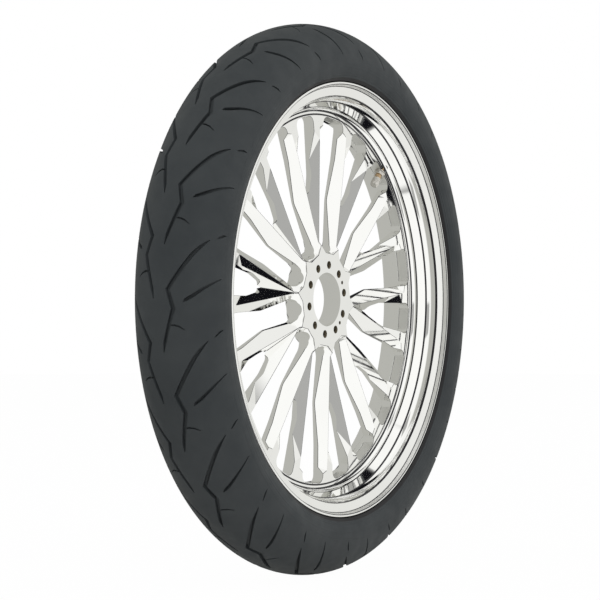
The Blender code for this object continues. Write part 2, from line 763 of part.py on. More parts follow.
def valve_nut(frame, bottom, material):
    """Hexagon nut with a plain hole."""
    body = bmesh.new()
    bmesh.ops.create_cone(
        body,
        cap_ends=True,
        segments=6,
        radius1=NUT_ACROSS_FLATS / math.sqrt(3.0),
        radius2=NUT_ACROSS_FLATS / math.sqrt(3.0),
        depth=NUT_HEIGHT,
        matrix=Matrix.Translation((0.0, 0.0, bottom + NUT_HEIGHT / 2)),
    )
    mesh = bpy.data.meshes.new("valve_nut")
    body.to_mesh(mesh)
    body.free()
    nut = place("valve_nut", mesh, frame, material)
    low = bottom - CUT_MARGIN
    high = bottom + NUT_HEIGHT + CUT_MARGIN
    section = [(high, 0.0), (high, VALVE_HOLE_RADIUS), (low, VALVE_HOLE_RADIUS), (low, 0.0)]
    hole = turned("nut_hole", section, frame, facets=VALVE_FACETS, closed=False, hidden=True)
    cut(nut, hole)
    return nut


def valve_pin(frame, core_bottom, material):
    """Pin through the core, with the plunger that closes it from inside."""
    top = STEM_LENGTH - CORE_RECESS + PIN_STAND_OUT
    plunger_top = core_bottom - CLEARANCE
    plunger_bottom = plunger_top - PLUNGER_THICKNESS
    section = [
        (top, 0.0),
        (top, PIN_RADIUS),
        (plunger_top, PIN_RADIUS),
        (plunger_top, PLUNGER_RADIUS),
        (plunger_bottom, PLUNGER_RADIUS),
        (plunger_bottom, 0.0),
    ]
    turned("valve_pin", section, frame, material, facets=VALVE_FACETS, closed=False)
    return plunger_bottom


def valve_spring(frame, high, material):
    """Coil spring between the stem's shoulder and the plunger."""
    low = STEM_LENGTH - STEM_BORE_DEPTH + CLEARANCE + SPRING_WIRE_RADIUS
    high -= CLEARANCE + SPRING_WIRE_RADIUS
    count = SPRING_TURNS * SPRING_POINTS_PER_TURN
    curve = bpy.data.curves.new("valve_spring", "CURVE")
    curve.dimensions = "3D"
    curve.bevel_depth = SPRING_WIRE_RADIUS
    curve.bevel_resolution = 0
    curve.use_fill_caps = True
    spline = curve.splines.new("POLY")
    spline.points.add(count)
    for i, point in enumerate(spline.points):
        turn = math.tau * i / SPRING_POINTS_PER_TURN
        height = low + (high - low) * i / count
        point.co = (SPRING_RADIUS * math.cos(turn), SPRING_RADIUS * math.sin(turn), height, 1.0)
    gap = (high - low) / SPRING_TURNS - 2 * SPRING_WIRE_RADIUS
    print(f"valve_spring: {gap / MM:.2f} mm between turns")
    return place("valve_spring", curve, frame, material)


def valve_cap(frame, material, seal_material):
    """Screw cap over the stem's end, with a soft disc inside its top."""
    seal_low = STEM_LENGTH + CLEARANCE
    seal_high = seal_low + CAP_SEAL_THICKNESS
    roof = seal_high + CLEARANCE
    top = roof + CAP_TOP
    bottom = STEM_LENGTH - CAP_COVER
    inner = STEM_RADIUS + CLEARANCE
    outer = inner + CAP_WALL
    section = [
        (top, 0.0),
        (top, outer - CAP_CHAMFER),
        (top - CAP_CHAMFER, outer),
        (bottom, outer),
        (bottom, inner),
        (roof, inner),
        (roof, 0.0),
    ]
    turned("valve_cap", section, frame, material, facets=VALVE_FACETS, closed=False)
    disc = inner - CLEARANCE
    section = [(seal_high, 0.0), (seal_high, disc), (seal_low, disc), (seal_low, 0.0)]
    turned("valve_cap_seal", section, frame, seal_material, facets=VALVE_FACETS, closed=False)


def build_tyre(parent):
    """Tread, belts, ply, liner and, at each side, sidewall, bead core and filler."""
    rubber = finish("tyre_rubber", (0.035, 0.036, 0.038), 0.7, 0.0)
    cord = finish("cord_ply", (0.09, 0.08, 0.07), 0.8, 0.0)
    wire = finish("bead_wire", (0.45, 0.38, 0.28), 0.4, 1.0)
    line = ply_line()
    tread = turned("tread", tread_section(line), parent, rubber)
    cut(tread, tread_grooves(parent))
    step = BELT_THICKNESS + CLEARANCE
    inner = layer(belt_line(line, 0.0), CLEARANCE, step)
    outer = layer(belt_line(line, BELT_STAGGER), CLEARANCE + step, 2 * step)
    turned("belt_inner", inner, parent, cord)
    turned("belt_outer", outer, parent, cord)
    turned("carcass_ply", layer(line, -PLY_THICKNESS, 0.0), parent, cord)
    turned("inner_liner", layer(line, LINER_OUTSET - LINER_THICKNESS, LINER_OUTSET), parent, rubber)
    pieces = (
        ("sidewall", sidewall_section(line), rubber),
        ("bead_core", core_section(), wire),
        ("bead_filler", filler_section(line), rubber),
    )
    for name, section, material in pieces:
        turned(name + "_front", section, parent, material)
        turned(name + "_rear", mirrored(section), parent, material)


def build_wheel(parent):
    """Rim hoop, wheel centre and the valve that passes through both."""
    chrome = finish("chrome", (0.86, 0.86, 0.84), 0.05, 1.0)
    brass = finish("brass", (0.62, 0.47, 0.3), 0.25, 1.0)
    nickel = finish("nickel", (0.7, 0.68, 0.64), 0.2, 1.0)
    rubber = finish("valve_rubber", (0.03, 0.03, 0.03), 0.6, 0.0)
    rim = turned("rim", rim_section(), parent, chrome)
    centre = wheel_centre(parent, chrome)

    frame = valve_frame(parent)
    spot_face = SLOT_END_RADIUS - (WELL_RADIUS * FACET_COSINE - SPOT_FACE_DEPTH)
    hole = valve_hole(frame, spot_face)
    cut(rim, hole)
    cut(centre, hole, "MANIFOLD")

    seal_high = spot_face - CLEARANCE
    seal_low = seal_high - SEAL_THICKNESS
    stem_gap = STEM_RADIUS + CLEARANCE
    ring("valve_seal", seal_low, seal_high, stem_gap, SEAL_RADIUS, frame, rubber)
    valve_stem(frame, seal_low - CLEARANCE, brass)
    washer_top = CLEARANCE + WASHER_THICKNESS
    ring("valve_washer", CLEARANCE, washer_top, stem_gap, WASHER_RADIUS, frame, nickel)
    valve_nut(frame, washer_top + CLEARANCE, nickel)
    core_top = STEM_LENGTH - CORE_RECESS
    core_bottom = core_top - CORE_LENGTH
    ring("valve_core", core_bottom, core_top, CORE_BORE_RADIUS, STEM_BORE_RADIUS - CLEARANCE, frame, brass)
    plunger_bottom = valve_pin(frame, core_bottom, nickel)
    valve_spring(frame, plunger_bottom, nickel)
    valve_cap(frame, nickel, rubber)


clear_scene()
PARTS = new_collection("motorcycle_wheel")
CUTTERS = new_collection("cutters")
AXLE = bpy.data.objects.new("axle_frame", None)
PARTS.objects.link(AXLE)
AXLE.rotation_euler = (math.radians(90.0), 0.0, 0.0)
build_tyre(AXLE)
build_wheel(AXLE)
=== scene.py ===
"""Looks of a cruiser motorcycle's front wheel: tubeless tyre, chromed forked-spoke wheel and valve.

Metres, +Z up, wheel centre at the origin, axle along Y, dished face towards -Y.
Sections are (axial, radius) points: axial is counted from the mid-plane towards the dished face.
Wheel angles are counted clockwise from the top of the dished face.
"""

import json
import math
from functools import partial

import bmesh
import bpy
from mathutils import Matrix, Vector


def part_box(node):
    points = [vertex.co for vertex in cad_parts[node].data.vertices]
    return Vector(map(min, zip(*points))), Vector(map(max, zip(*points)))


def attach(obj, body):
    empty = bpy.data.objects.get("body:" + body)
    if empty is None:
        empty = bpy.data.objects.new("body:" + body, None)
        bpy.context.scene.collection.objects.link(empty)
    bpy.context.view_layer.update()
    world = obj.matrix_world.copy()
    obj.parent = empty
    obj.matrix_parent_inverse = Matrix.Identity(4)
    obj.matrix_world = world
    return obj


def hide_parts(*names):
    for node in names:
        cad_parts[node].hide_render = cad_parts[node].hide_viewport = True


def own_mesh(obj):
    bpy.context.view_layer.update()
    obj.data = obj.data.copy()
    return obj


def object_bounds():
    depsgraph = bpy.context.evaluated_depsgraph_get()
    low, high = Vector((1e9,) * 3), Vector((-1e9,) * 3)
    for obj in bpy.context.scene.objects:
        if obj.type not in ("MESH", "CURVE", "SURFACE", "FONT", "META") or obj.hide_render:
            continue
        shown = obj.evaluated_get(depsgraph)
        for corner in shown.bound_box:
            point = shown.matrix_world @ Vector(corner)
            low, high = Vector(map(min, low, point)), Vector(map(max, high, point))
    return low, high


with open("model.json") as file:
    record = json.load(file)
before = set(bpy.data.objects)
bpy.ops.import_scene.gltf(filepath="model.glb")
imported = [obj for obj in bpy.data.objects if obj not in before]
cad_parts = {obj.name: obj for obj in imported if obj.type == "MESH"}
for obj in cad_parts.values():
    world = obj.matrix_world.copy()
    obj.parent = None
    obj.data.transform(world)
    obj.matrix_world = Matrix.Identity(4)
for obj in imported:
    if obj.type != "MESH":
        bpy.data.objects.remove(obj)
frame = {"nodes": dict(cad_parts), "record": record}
CAD_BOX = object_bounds()

MM = 0.001

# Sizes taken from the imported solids
CROWN_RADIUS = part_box("tread")[1].z
HALF_WIDTH = -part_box("sidewall_front")[0].y
FLANGE_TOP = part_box("rim")[1].z
FLANGE_LIP = -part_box("rim")[0].y
HUB_FRONT = -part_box("wheel_centre")[0].y
HUB_BACK = -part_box("wheel_centre")[1].y
CENTRE_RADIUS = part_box("wheel_centre")[1].z

# Facets and shading
TYRE_STEPS = 240
CROWN_STEPS = 44
WHEEL_STEPS = 180
HOLE_STEPS = 28
VALVE_STEPS = 48
FILLET_STEP = 12.0
SCOOP_STEPS = 10
SIDE_STEPS = 14
INNER_EVERY = 4
SHADE_ANGLE = 30.0
NUT_SHADE_ANGLE = 20.0
ROUND_SHADE_ANGLE = 40.0
FLAT_SHADE_ANGLE = 16.0
FACE_WEIGHT = 100
WELD_REACH = 1e-7

# Tyre section
CROWN_RISE = 49.4 * MM
TREAD_EDGE_ANGLE = 6.0
TREAD_DEPTH = 8.5 * MM
SIDE_DEPTH = 3.8 * MM
SEAM_ANGLE = 0.04
# Sidewall faces below this radius take the darker rubber: the hidden bead, and painted shade just above
# the flange
BEAD_SHADE_BAND = FLANGE_TOP + 4.5 * MM
LAYER_GAP = 0.3 * MM
WIDEST_RADIUS = CROWN_RADIUS - CROWN_RISE
CROWN_FACING = 0.97
SIDE_BULGE = 1.6 * MM
SIDE_WAIST = (43.0 * MM, 262.0 * MM)
BEAD_TOE = (22.0 * MM, 3.0 * MM)
BEAD_SHOULDER = (34.0 * MM, 4.0 * MM)
CHAMFER_EASE = 0.1 * MM

# Second finish of the sidewalls: darker rubber, painted shade where the sidewall meets the rim's lip
BEAD_SHADE_FINISH = 1

# Moulded sidewall lines: radius, half width and height in millimetres
SIDE_LINES = ((272.4, 0.9, 0.22), (263.0, 0.7, 0.3), (260.6, 0.7, 0.3))

# Tread pattern: (share of the half width, degrees round the tyre, half width in millimetres, depth share)
PITCH_COUNT = 18
FIRST_PITCH_ANGLE = 1.9
GROOVE_DEPTH = 4.2 * MM
GROOVE_OVERSHOOT = 1.5 * MM
GROOVE_STEP = 2.5 * MM
GROOVE_MOUTH = 1.15
GROOVE_FLOOR = 0.7
MITRE_LIMIT = 0.5
MAIN_GROOVE = (
    (0.095, -11.7, 0.5, 0.35),
    (0.130, -10.0, 1.9, 1.0),
    (0.333, -3.6, 2.2, 1.0),
    (0.222, 0.0, 2.2, 1.0),
    (0.639, 6.8, 2.0, 1.0),
    (0.740, 8.3, 1.6, 0.8),
    (0.850, 9.9, 0.5, 0.25),
)
SLASH = (
    (0.515, -2.3, 0.5, 0.4),
    (0.560, -1.9, 1.7, 1.0),
    (0.650, -1.3, 1.8, 1.0),
    (0.740, -0.5, 1.6, 0.9),
    (0.840, 0.5, 1.3, 0.6),
    (0.920, 1.4, 0.9, 0.4),
    (0.980, 2.3, 0.4, 0.2),
)
BRANCH_SIPE = (
    (0.245, -6.7, 0.7, 0.6),
    (0.330, -6.6, 1.1, 0.6),
    (0.430, -6.9, 1.0, 0.55),
    (0.530, -7.6, 0.4, 0.2),
)
SHOULDER_SIPE = (
    (0.925, 10.4, 0.5, 0.25),
    (0.955, 11.0, 0.9, 0.45),
    (0.980, 11.6, 0.8, 0.4),
)

# Rim
FLANGE_FACE = 38.1 * MM
BEAD_SEAT_RADIUS = 241.3 * MM
FLANGE_CHAMFER = 3.6 * MM
WELL_RADIUS = BEAD_SEAT_RADIUS - 13.8 * MM
WELL_HALF_WIDTH = 11.0 * MM
SEAT_WIDTH = 14.0 * MM
SEAT_TAPER = 1.1 * MM
LIP_CREASE = FLANGE_TOP - 3.1 * MM
# Reach of the painted shade about the lip's crease
LIP_SHADE_REACH = 0.7 * MM
LIP_WALL = 41.5 * MM
LIP_FACING = 0.7
# Reach of the painted shade about each of the rim's creases, and the index of the painted shade finish
PAINTED_SHADE_REACH = 1.1 * MM
PAINTED_SHADE_FINISH = 1
LIP_FINISH = 2

# Creases of the rim's front, along which shade is painted: axial place and radius in millimetres
RIM_CREASES = ((41.8, 250.0), (37.4, 239.2), (25.2, 233.4), (15.9, 228.3), (9.4, 223.9))

# Wheel centre
HUB_BORE = 31.75 * MM
RING_FRONT = 8.8 * MM
RING_WIDTH = 6.0 * MM
RING_GROOVE = CENTRE_RADIUS - 3.0 * MM
RING_GROOVE_DEPTH = 0.8 * MM
DISC_BACK = -5.0 * MM
HUB_BACK_RADIUS = 57.0 * MM
HUB_BACK_CHAMFER = 3.0 * MM
BOLT_CIRCLE = 41.275 * MM
BOLT_HOLE = 4.75 * MM
PIN_HOLE = 2.25 * MM
PIN_HOLE_PAIRS = (1, 3)
PAIR_COUNT = 10
PAIR_ANGLE = 360.0 / PAIR_COUNT
LONG_SLOT_ANGLE = 6.6
SLOT_END = CENTRE_RADIUS - RING_WIDTH
SLOT_END_REACH = 1.0 * MM
SLOT_END_FACING = 0.9
BACK_FACING = 0.5
HOLE_WALL_REACH = BOLT_HOLE + 0.2 * MM
RIDGE_END = SLOT_END - 9.0 * MM
RIDGE_STAND = 0.7 * MM
FORK_RADIUS = 70.0 * MM
FORK_DROP = 2.5 * MM
FORK_BLUNT = 2.0 * MM
OUTER_FACET_ANGLE = 41.0
INNER_FACET_ANGLE = 53.0
OUTER_RUN_OUT = (16.0 * MM, 13.0 * MM)
INNER_RUN_OUT = (66.0 * MM, 14.0 * MM)
ARROW_START = (68.0 * MM, 9.0 * MM)
OUTER_CLIMB = 11.0 * MM
INNER_CLIMB = 1.0 * MM
STEP_HEIGHT = 3.5 * MM
STEP_LEAN = 0.6
CUT_MARGIN = 2.0 * MM
EDGE_BREAK = 0.35 * MM
EDGE_ANGLE = 46.0
EDGES_FROM = 53.0 * MM
SHORT_EDGE = 0.25 * MM
HOLE_FINISH = 1
# Index of the near-black finish on the spokes' edge chamfers: painted dark reflection lines
PAINTED_EDGE_SHADE = 2
BACK_FINISH = 3

# Half outlines of the slots: place along the slot, half width and fillet
LONG_SLOT = (
    (56.0 * MM, 14.2 * MM, 13.0 * MM),
    (122.0 * MM, 11.5 * MM, 30.0 * MM),
    (172.0 * MM, 20.0 * MM, 30.0 * MM),
    (SLOT_END, 24.5 * MM, 9.0 * MM),
)
SHORT_SLOT = (
    (126.0 * MM, 6.0 * MM, 5.5 * MM),
    (148.0 * MM, 13.0 * MM, 30.0 * MM),
    (SLOT_END, 20.2 * MM, 9.0 * MM),
)

# Valve: places along its axis are counted from the slot's end, inwards to the hub
VALVE_ANGLE = LONG_SLOT_ANGLE + PAIR_ANGLE
VALVE_AXIAL = 5.0 * MM
VALVE_HOLE = 4.3 * MM
STEM_RADIUS = 3.9 * MM
STEM_LENGTH = 20.0 * MM
STEM_BORE = 2.6 * MM
STEM_BORE_DEPTH = 16.0 * MM
STEM_AIRWAY = 1.4 * MM
STEM_HEAD = (8.0 * MM, 3.0 * MM)
STEM_HEAD_EDGE = 0.5 * MM
STEM_MOUTH = (0.4 * MM, 0.6 * MM)
DRILL_ENDS = (9.0 * MM, -24.0 * MM)
SEAL_THICKNESS = 2.0 * MM
SEAL_FACE = SLOT_END - WELL_RADIUS + 1.0 * MM
THREAD_PITCH = 0.794 * MM
THREAD_DEPTH = 0.42 * MM
THREAD_CREST = (0.4 * THREAD_PITCH, 0.55 * THREAD_PITCH)
WASHER = (7.0 * MM, 1.2 * MM)
WASHER_EDGE = 0.25 * MM
NUT_HALF_FLATS = 6.0 * MM
NUT_HEIGHT = 4.5 * MM
NUT_CHAMFER = 0.55 * MM
NUT_ROUND = 0.97
NUT_ROUND_GAIN = 0.19
NUT_SHARES = (0.0, 0.5, 1.0)
PLUNGER_BOTTOM = STEM_LENGTH - 11.3 * MM
SPRING_RADIUS = 2.0 * MM
SPRING_WIRE = 0.22 * MM
SPRING_TURNS = 4
SPRING_STEPS = 32
WIRE_STEPS = 12
CAP_BOTTOM = STEM_LENGTH - 8.0 * MM
CAP_ROOF = STEM_LENGTH + 1.6 * MM
CAP_TOP = CAP_ROOF + 2.0 * MM
CAP_BORE = 4.2 * MM
CAP_RADIUS = 5.2 * MM
CAP_RIBS = 24
CAP_RIB_DEPTH = 0.4 * MM

# Studio's black flags and grey cards: heading and half span in degrees, nearest and farthest height
FLAGS = (
    (33.0, 17.5, 0.05, 0.42),
    (33.0, 17.5, -0.14, -0.42),
    (-7.0, 15.0, 0.60, 0.90),
    (-7.0, 15.0, -0.60, -0.90),
    (-65.0, 10.0, -0.25, -0.55),
)
CARDS = (
    (-133.0, 11.0, 0.03, 0.30),
    (-120.0, 9.0, -0.62, -0.86),
    (-103.0, 10.0, 0.79, 0.91),
)
FLAG_TONE = (0.006, 0.006, 0.008)
CARD_TONE = (0.42, 0.42, 0.41)
FLAG_BLUR = 1.0
FLAG_SOFT = 0.02

# Studio's light: colours, and the ranges of direction over which one passes into the next
FRONT_COLOUR = (1.0, 1.0, 0.985)
FAR_COLOUR = (0.80, 0.80, 0.775)
FAR_RANGE = (0.2, 0.95)
BACK_COLOUR = (0.47, 0.47, 0.44)
FRONT_HEADING = (0.242, -0.970, 0.0)
FRONT_RANGE = (0.14, 0.26)
POLE_COLOUR = (0.95, 0.95, 0.935)
POLE_RANGE = (0.93, 0.97)
BACKDROP_COLOUR = (1.0, 1.0, 1.0, 1.0)
SOFT_COLOUR = (0.5, 0.5, 0.5, 1.0)

# Lamps: place, size and power
LAMPS = {
    "key": ((-2.7, -1.5, 2.9), 2.0, 62.0),
    "fill": ((2.6, -2.4, 1.0), 2.5, 30.0),
    "back": ((-1.0, 2.6, 1.8), 2.5, 22.0),
}

# Floor
FLOOR_RADIUS = 6.0
FLOOR_STEPS = 96
FLOOR_COLOUR = (0.86, 0.86, 0.86, 1.0)
FLOOR_ROUGHNESS = 0.9
FLOOR_GLOW = 0.985

# Rubbers: dark and light tone, least and most roughness, strength of the grain
RUBBERS = {
    "tyre_rubber": ((0.0325, 0.0375, 0.0405), (0.042, 0.0475, 0.050), (0.55, 0.72), 0.25),
    # Darker rubber on the sidewalls next to the rim: painted shade
    "painted_shade_rubber": ((0.010, 0.010, 0.011), (0.016, 0.016, 0.017), (0.5, 0.65), 0.15),
    "valve_rubber": ((0.024, 0.024, 0.024), (0.036, 0.036, 0.036), (0.55, 0.7), 0.3),
}

# Metals: dark and light tone, least and most roughness, scale of the unevenness
METALS = {
    "chrome": ((0.94, 0.94, 0.925), (0.975, 0.975, 0.962), (0.03, 0.06), 9.0),
    "satin": ((0.82, 0.82, 0.80), (0.90, 0.90, 0.88), (0.34, 0.42), 9.0),
    # Painted shade: near-black metal for the rim's creases and the spokes' edge chamfers, standing in for
    # shade and dark reflections
    "painted_shade": ((0.03, 0.03, 0.035), (0.07, 0.07, 0.075), (0.2, 0.3), 60.0),
    "nickel": ((0.62, 0.60, 0.56), (0.74, 0.72, 0.68), (0.16, 0.3), 220.0),
    "brass": ((0.55, 0.40, 0.24), (0.66, 0.50, 0.33), (0.2, 0.36), 220.0),
    "bead_wire": ((0.40, 0.33, 0.24), (0.50, 0.42, 0.31), (0.35, 0.5), 160.0),
}

# Values between which a noise texture mostly lies, and the colour sockets of a mix node
NOISE_RANGE = (0.3, 0.7)
NOISE_ROUGHNESS = 0.55
MIX_BELOW = 6
MIX_ABOVE = 7
MIX_RESULT = 2

# Camera
CAMERA_PLACE = (-1.8925, -1.1218, 0.0)
CAMERA_AIM = (0.8602, 0.5099, 0.0)
CAMERA_LENS = 110.9
CAMERA_SENSOR = 36.0
CAMERA_SHIFT = (-0.0281, -0.0009)


def on_wheel(axial, radius, degrees):
    """World place of a point given by axial place, radius and wheel angle."""
    angle = math.radians(degrees)
    return Vector((radius * math.sin(angle), -axial, radius * math.cos(angle)))


def cross(a, b):
    return a.x * b.y - a.y * b.x


def meet(point, direction, other, other_direction):
    """Where two straight lines in a plane cross."""
    reach = cross(other - point, other_direction) / cross(direction, other_direction)
    return point + direction * reach


def arc_steps(sweep):
    return max(2, math.ceil(abs(math.degrees(sweep)) / FILLET_STEP))


def rounded(corners):
    """A closed outline through corners of (x, y, fillet radius)."""
    outline = []
    count = len(corners)
    for i, (x, y, radius) in enumerate(corners):
        corner = Vector((x, y))
        if radius <= 0.0:
            outline.append(corner)
            continue
        before = (Vector(corners[i - 1][:2]) - corner).normalized()
        after = (Vector(corners[(i + 1) % count][:2]) - corner).normalized()
        half = before.angle(after) / 2
        centre = corner + (before + after).normalized() * (radius / math.sin(half))
        start = corner + before * (radius / math.tan(half)) - centre
        sweep = math.copysign(math.pi - 2 * half, cross(after, before))
        steps = arc_steps(sweep)
        for step in range(steps + 1):
            outline.append(centre + Matrix.Rotation(sweep * step / steps, 2) @ start)
    return outline


def smooth_curve(points, steps):
    """Points along a smooth curve through the given ones."""
    curve = []
    last = len(points) - 1
    for i in range(last):
        p0, p1 = points[max(i - 1, 0)], points[i]
        p2, p3 = points[i + 1], points[min(i + 2, last)]
        for k in range(steps):
            t = k / steps
            a = p1 * 2 + (p2 - p0) * t
            b = (p0 * 2 - p1 * 5 + p2 * 4 - p3) * t * t
            c = (p1 * 3 - p0 - p2 * 3 + p3) * t * t * t
            curve.append((a + b + c) / 2)
    return curve + [points[-1]]


def link(name, body):
    """A bmesh as a new object of the scene."""
    mesh = bpy.data.meshes.new(name)
    body.to_mesh(mesh)
    body.free()
    item = bpy.data.objects.new(name, mesh)
    bpy.context.scene.collection.objects.link(item)
    return item


def spun(name, section, steps, closed=True, matrix=None):
    """A section turned about an axis: the axle, or the Z axis of a matrix.

    An open section starts and ends on the axis. A radius may be a function of the turn.
    """
    body = bmesh.new()
    rings = []
    for k in range(steps):
        angle = 360.0 * k / steps
        ring = []
        for axial, radius in section:
            if matrix:
                turn = math.radians(angle)
                reach = radius(turn) if callable(radius) else radius
                place = matrix @ Vector((reach * math.cos(turn), reach * math.sin(turn), axial))
            else:
                place = on_wheel(axial, radius, angle)
            ring.append(body.verts.new(place))
        rings.append(ring)
    count = len(section) if closed else len(section) - 1
    for k in range(steps):
        here, there = rings[k], rings[(k + 1) % steps]
        for i in range(count):
            j = (i + 1) % len(section)
            body.faces.new((here[i], here[j], there[j], there[i]))
    if not closed:
        bmesh.ops.remove_doubles(body, verts=body.verts, dist=WELD_REACH)
    bmesh.ops.recalc_face_normals(body, faces=body.faces)
    return link(name, body)


def prism(outline, low, high, matrix):
    """A flat outline with a thickness, moved by a matrix, as a bmesh."""
    body = bmesh.new()
    bottom = [body.verts.new(matrix @ Vector((p[0], p[1], low))) for p in outline]
    top = [body.verts.new(matrix @ Vector((p[0], p[1], high))) for p in outline]
    count = len(outline)
    body.faces.new(bottom)
    body.faces.new(top)
    for i in range(count):
        j = (i + 1) % count
        body.faces.new((bottom[i], bottom[j], top[j], top[i]))
    bmesh.ops.recalc_face_normals(body, faces=body.faces)
    return body


def merged(name, bodies):
    """Several bmeshes as one object."""
    whole = bmesh.new()
    for body in bodies:
        mesh = bpy.data.meshes.new(name)
        body.to_mesh(mesh)
        body.free()
        whole.from_mesh(mesh)
        bpy.data.meshes.remove(mesh)
    return link(name, whole)


def apply_modifiers(item):
    """Turn an object's modifiers into its mesh."""
    graph = bpy.context.evaluated_depsgraph_get()
    mesh = bpy.data.meshes.new_from_object(item.evaluated_get(graph))
    old = item.data
    item.modifiers.clear()
    item.data = mesh
    bpy.data.meshes.remove(old)


def cut(item, *cutters):
    """Take the cutters' shapes out of an object and remove them."""
    for cutter in cutters:
        boolean = item.modifiers.new(cutter.name, "BOOLEAN")
        boolean.operation = "DIFFERENCE"
        boolean.solver = "MANIFOLD"
        boolean.object = cutter
    apply_modifiers(item)
    for cutter in cutters:
        mesh = cutter.data
        bpy.data.objects.remove(cutter, do_unlink=True)
        bpy.data.meshes.remove(mesh)


def shade(item, degrees=SHADE_ANGLE):
    """Smooth shading that keeps edges sharper than an angle."""
    item.data.shade_smooth()
    item.data.set_sharp_from_angle(angle=math.radians(degrees))


def dress(item, body, slot, material, *nodes):
    """Material, body and the CAD nodes that a piece stands for."""
    item.data.materials.clear()
    item.data.materials.append(material)
    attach(item, body)
    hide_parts(*nodes)


# Materials


def new_material(name):
    material = bpy.data.materials.new(name)
    material.use_nodes = True
    tree = material.node_tree
    shader = tree.nodes["Principled BSDF"]
    return material, tree, shader


def noise(tree, scale, detail):
    node = tree.nodes.new("ShaderNodeTexNoise")
    node.inputs["Scale"].default_value = scale
    node.inputs["Detail"].default_value = detail
    node.inputs["Roughness"].default_value = NOISE_ROUGHNESS
    source = tree.nodes.new("ShaderNodeTexCoord").outputs["Object"]
    tree.links.new(source, node.inputs["Vector"])
    return node.outputs["Fac"]


def ramp(tree, value, dark, light):
    """A noise value as a colour between two."""
    node = tree.nodes.new("ShaderNodeValToRGB")
    for element, place, colour in zip(node.color_ramp.elements, NOISE_RANGE, (dark, light)):
        element.position = place
        element.color = (*colour, 1.0)
    tree.links.new(value, node.inputs["Fac"])
    return node.outputs["Color"]


def spread(tree, value, low, high):
    """A noise value taken to a range of its own."""
    node = tree.nodes.new("ShaderNodeMapRange")
    node.inputs["From Min"].default_value = NOISE_RANGE[0]
    node.inputs["From Max"].default_value = NOISE_RANGE[1]
    node.inputs["To Min"].default_value = low
    node.inputs["To Max"].default_value = high
    tree.links.new(value, node.inputs["Value"])
    return node.outputs["Result"]


def bump(tree, shader, height, strength, distance):
    node = tree.nodes.new("ShaderNodeBump")
    node.inputs["Strength"].default_value = strength
    node.inputs["Distance"].default_value = distance
    tree.links.new(height, node.inputs["Height"])
    tree.links.new(node.outputs["Normal"], shader.inputs["Normal"])


def rubber_material(name, dark, light, roughness, grain):
    """Moulded rubber: cloudy tone, patchy sheen and a fine grain."""
    material, tree, shader = new_material(name)
    shader.inputs["Specular IOR Level"].default_value = 0.3
    clouds = noise(tree, scale=14.0, detail=6.0)
    tree.links.new(ramp(tree, clouds, dark, light), shader.inputs["Base Color"])
    patches = noise(tree, scale=45.0, detail=4.0)
    tree.links.new(spread(tree, patches, *roughness), shader.inputs["Roughness"])
    bump(tree, shader, noise(tree, scale=1400.0, detail=3.0), strength=grain, distance=0.2 * MM)
    return material


def metal_material(name, dark, light, roughness, scale):
    """Bright metal with slightly uneven tone and polish."""
    material, tree, shader = new_material(name)
    shader.inputs["Metallic"].default_value = 1.0
    clouds = noise(tree, scale, detail=5.0)
    tree.links.new(ramp(tree, clouds, dark, light), shader.inputs["Base Color"])
    polish = noise(tree, scale * 4.0, detail=4.0)
    tree.links.new(spread(tree, polish, *roughness), shader.inputs["Roughness"])
    return material


def dark_hole_material():
    """Dull dark brown walls inside the drilled holes, with fine turning marks."""
    material, tree, shader = new_material("hole_look")
    marks = noise(tree, scale=420.0, detail=4.0)
    colour = ramp(tree, marks, dark=(0.11, 0.093, 0.060), light=(0.20, 0.17, 0.12))
    tree.links.new(colour, shader.inputs["Base Color"])
    shader.inputs["Roughness"].default_value = 0.55
    bump(tree, shader, marks, strength=0.3, distance=0.1 * MM)
    return material


def cord_material():
    """Rubbered cord: fine parallel ridges under a dull skin."""
    material, tree, shader = new_material("cord_ply_look")
    clouds = noise(tree, scale=60.0, detail=4.0)
    colour = ramp(tree, clouds, dark=(0.075, 0.066, 0.058), light=(0.105, 0.094, 0.083))
    tree.links.new(colour, shader.inputs["Base Color"])
    shader.inputs["Roughness"].default_value = 0.8
    wave = tree.nodes.new("ShaderNodeTexWave")
    wave.bands_direction = "Y"
    wave.inputs["Scale"].default_value = 160.0
    wave.inputs["Distortion"].default_value = 0.4
    source = tree.nodes.new("ShaderNodeTexCoord").outputs["Object"]
    tree.links.new(source, wave.inputs["Vector"])
    bump(tree, shader, wave.outputs["Fac"], strength=0.5, distance=0.4 * MM)
    return material


# Tyre


def crown_point(degrees, side_depth=0.0, crown_depth=0.0):
    angle = math.radians(degrees)
    width = HALF_WIDTH - side_depth
    rise = CROWN_RISE - crown_depth
    return Vector((width * math.cos(angle), WIDEST_RADIUS + rise * math.sin(angle)))


def crown_radius(axial):
    share = min(abs(axial) / HALF_WIDTH, 1.0)
    return WIDEST_RADIUS + CROWN_RISE * math.sqrt(1.0 - share * share)


def crown_normal(axial, radius):
    """Outward direction of the crown in the section plane."""
    slope = Vector((axial / HALF_WIDTH**2, (radius - WIDEST_RADIUS) / CROWN_RISE**2))
    return slope.normalized()


def tread_section():
    low = TREAD_EDGE_ANGLE + SEAM_ANGLE
    high = 180.0 - low
    angles = [low + (high - low) * k / CROWN_STEPS for k in range(CROWN_STEPS + 1)]
    outer = [crown_point(a) for a in angles]
    inner = [crown_point(a, SIDE_DEPTH, TREAD_DEPTH) for a in angles[::INNER_EVERY]]
    for end in (0, -1):
        inner[end].y = outer[end].y
    return outer + inner[::-1]


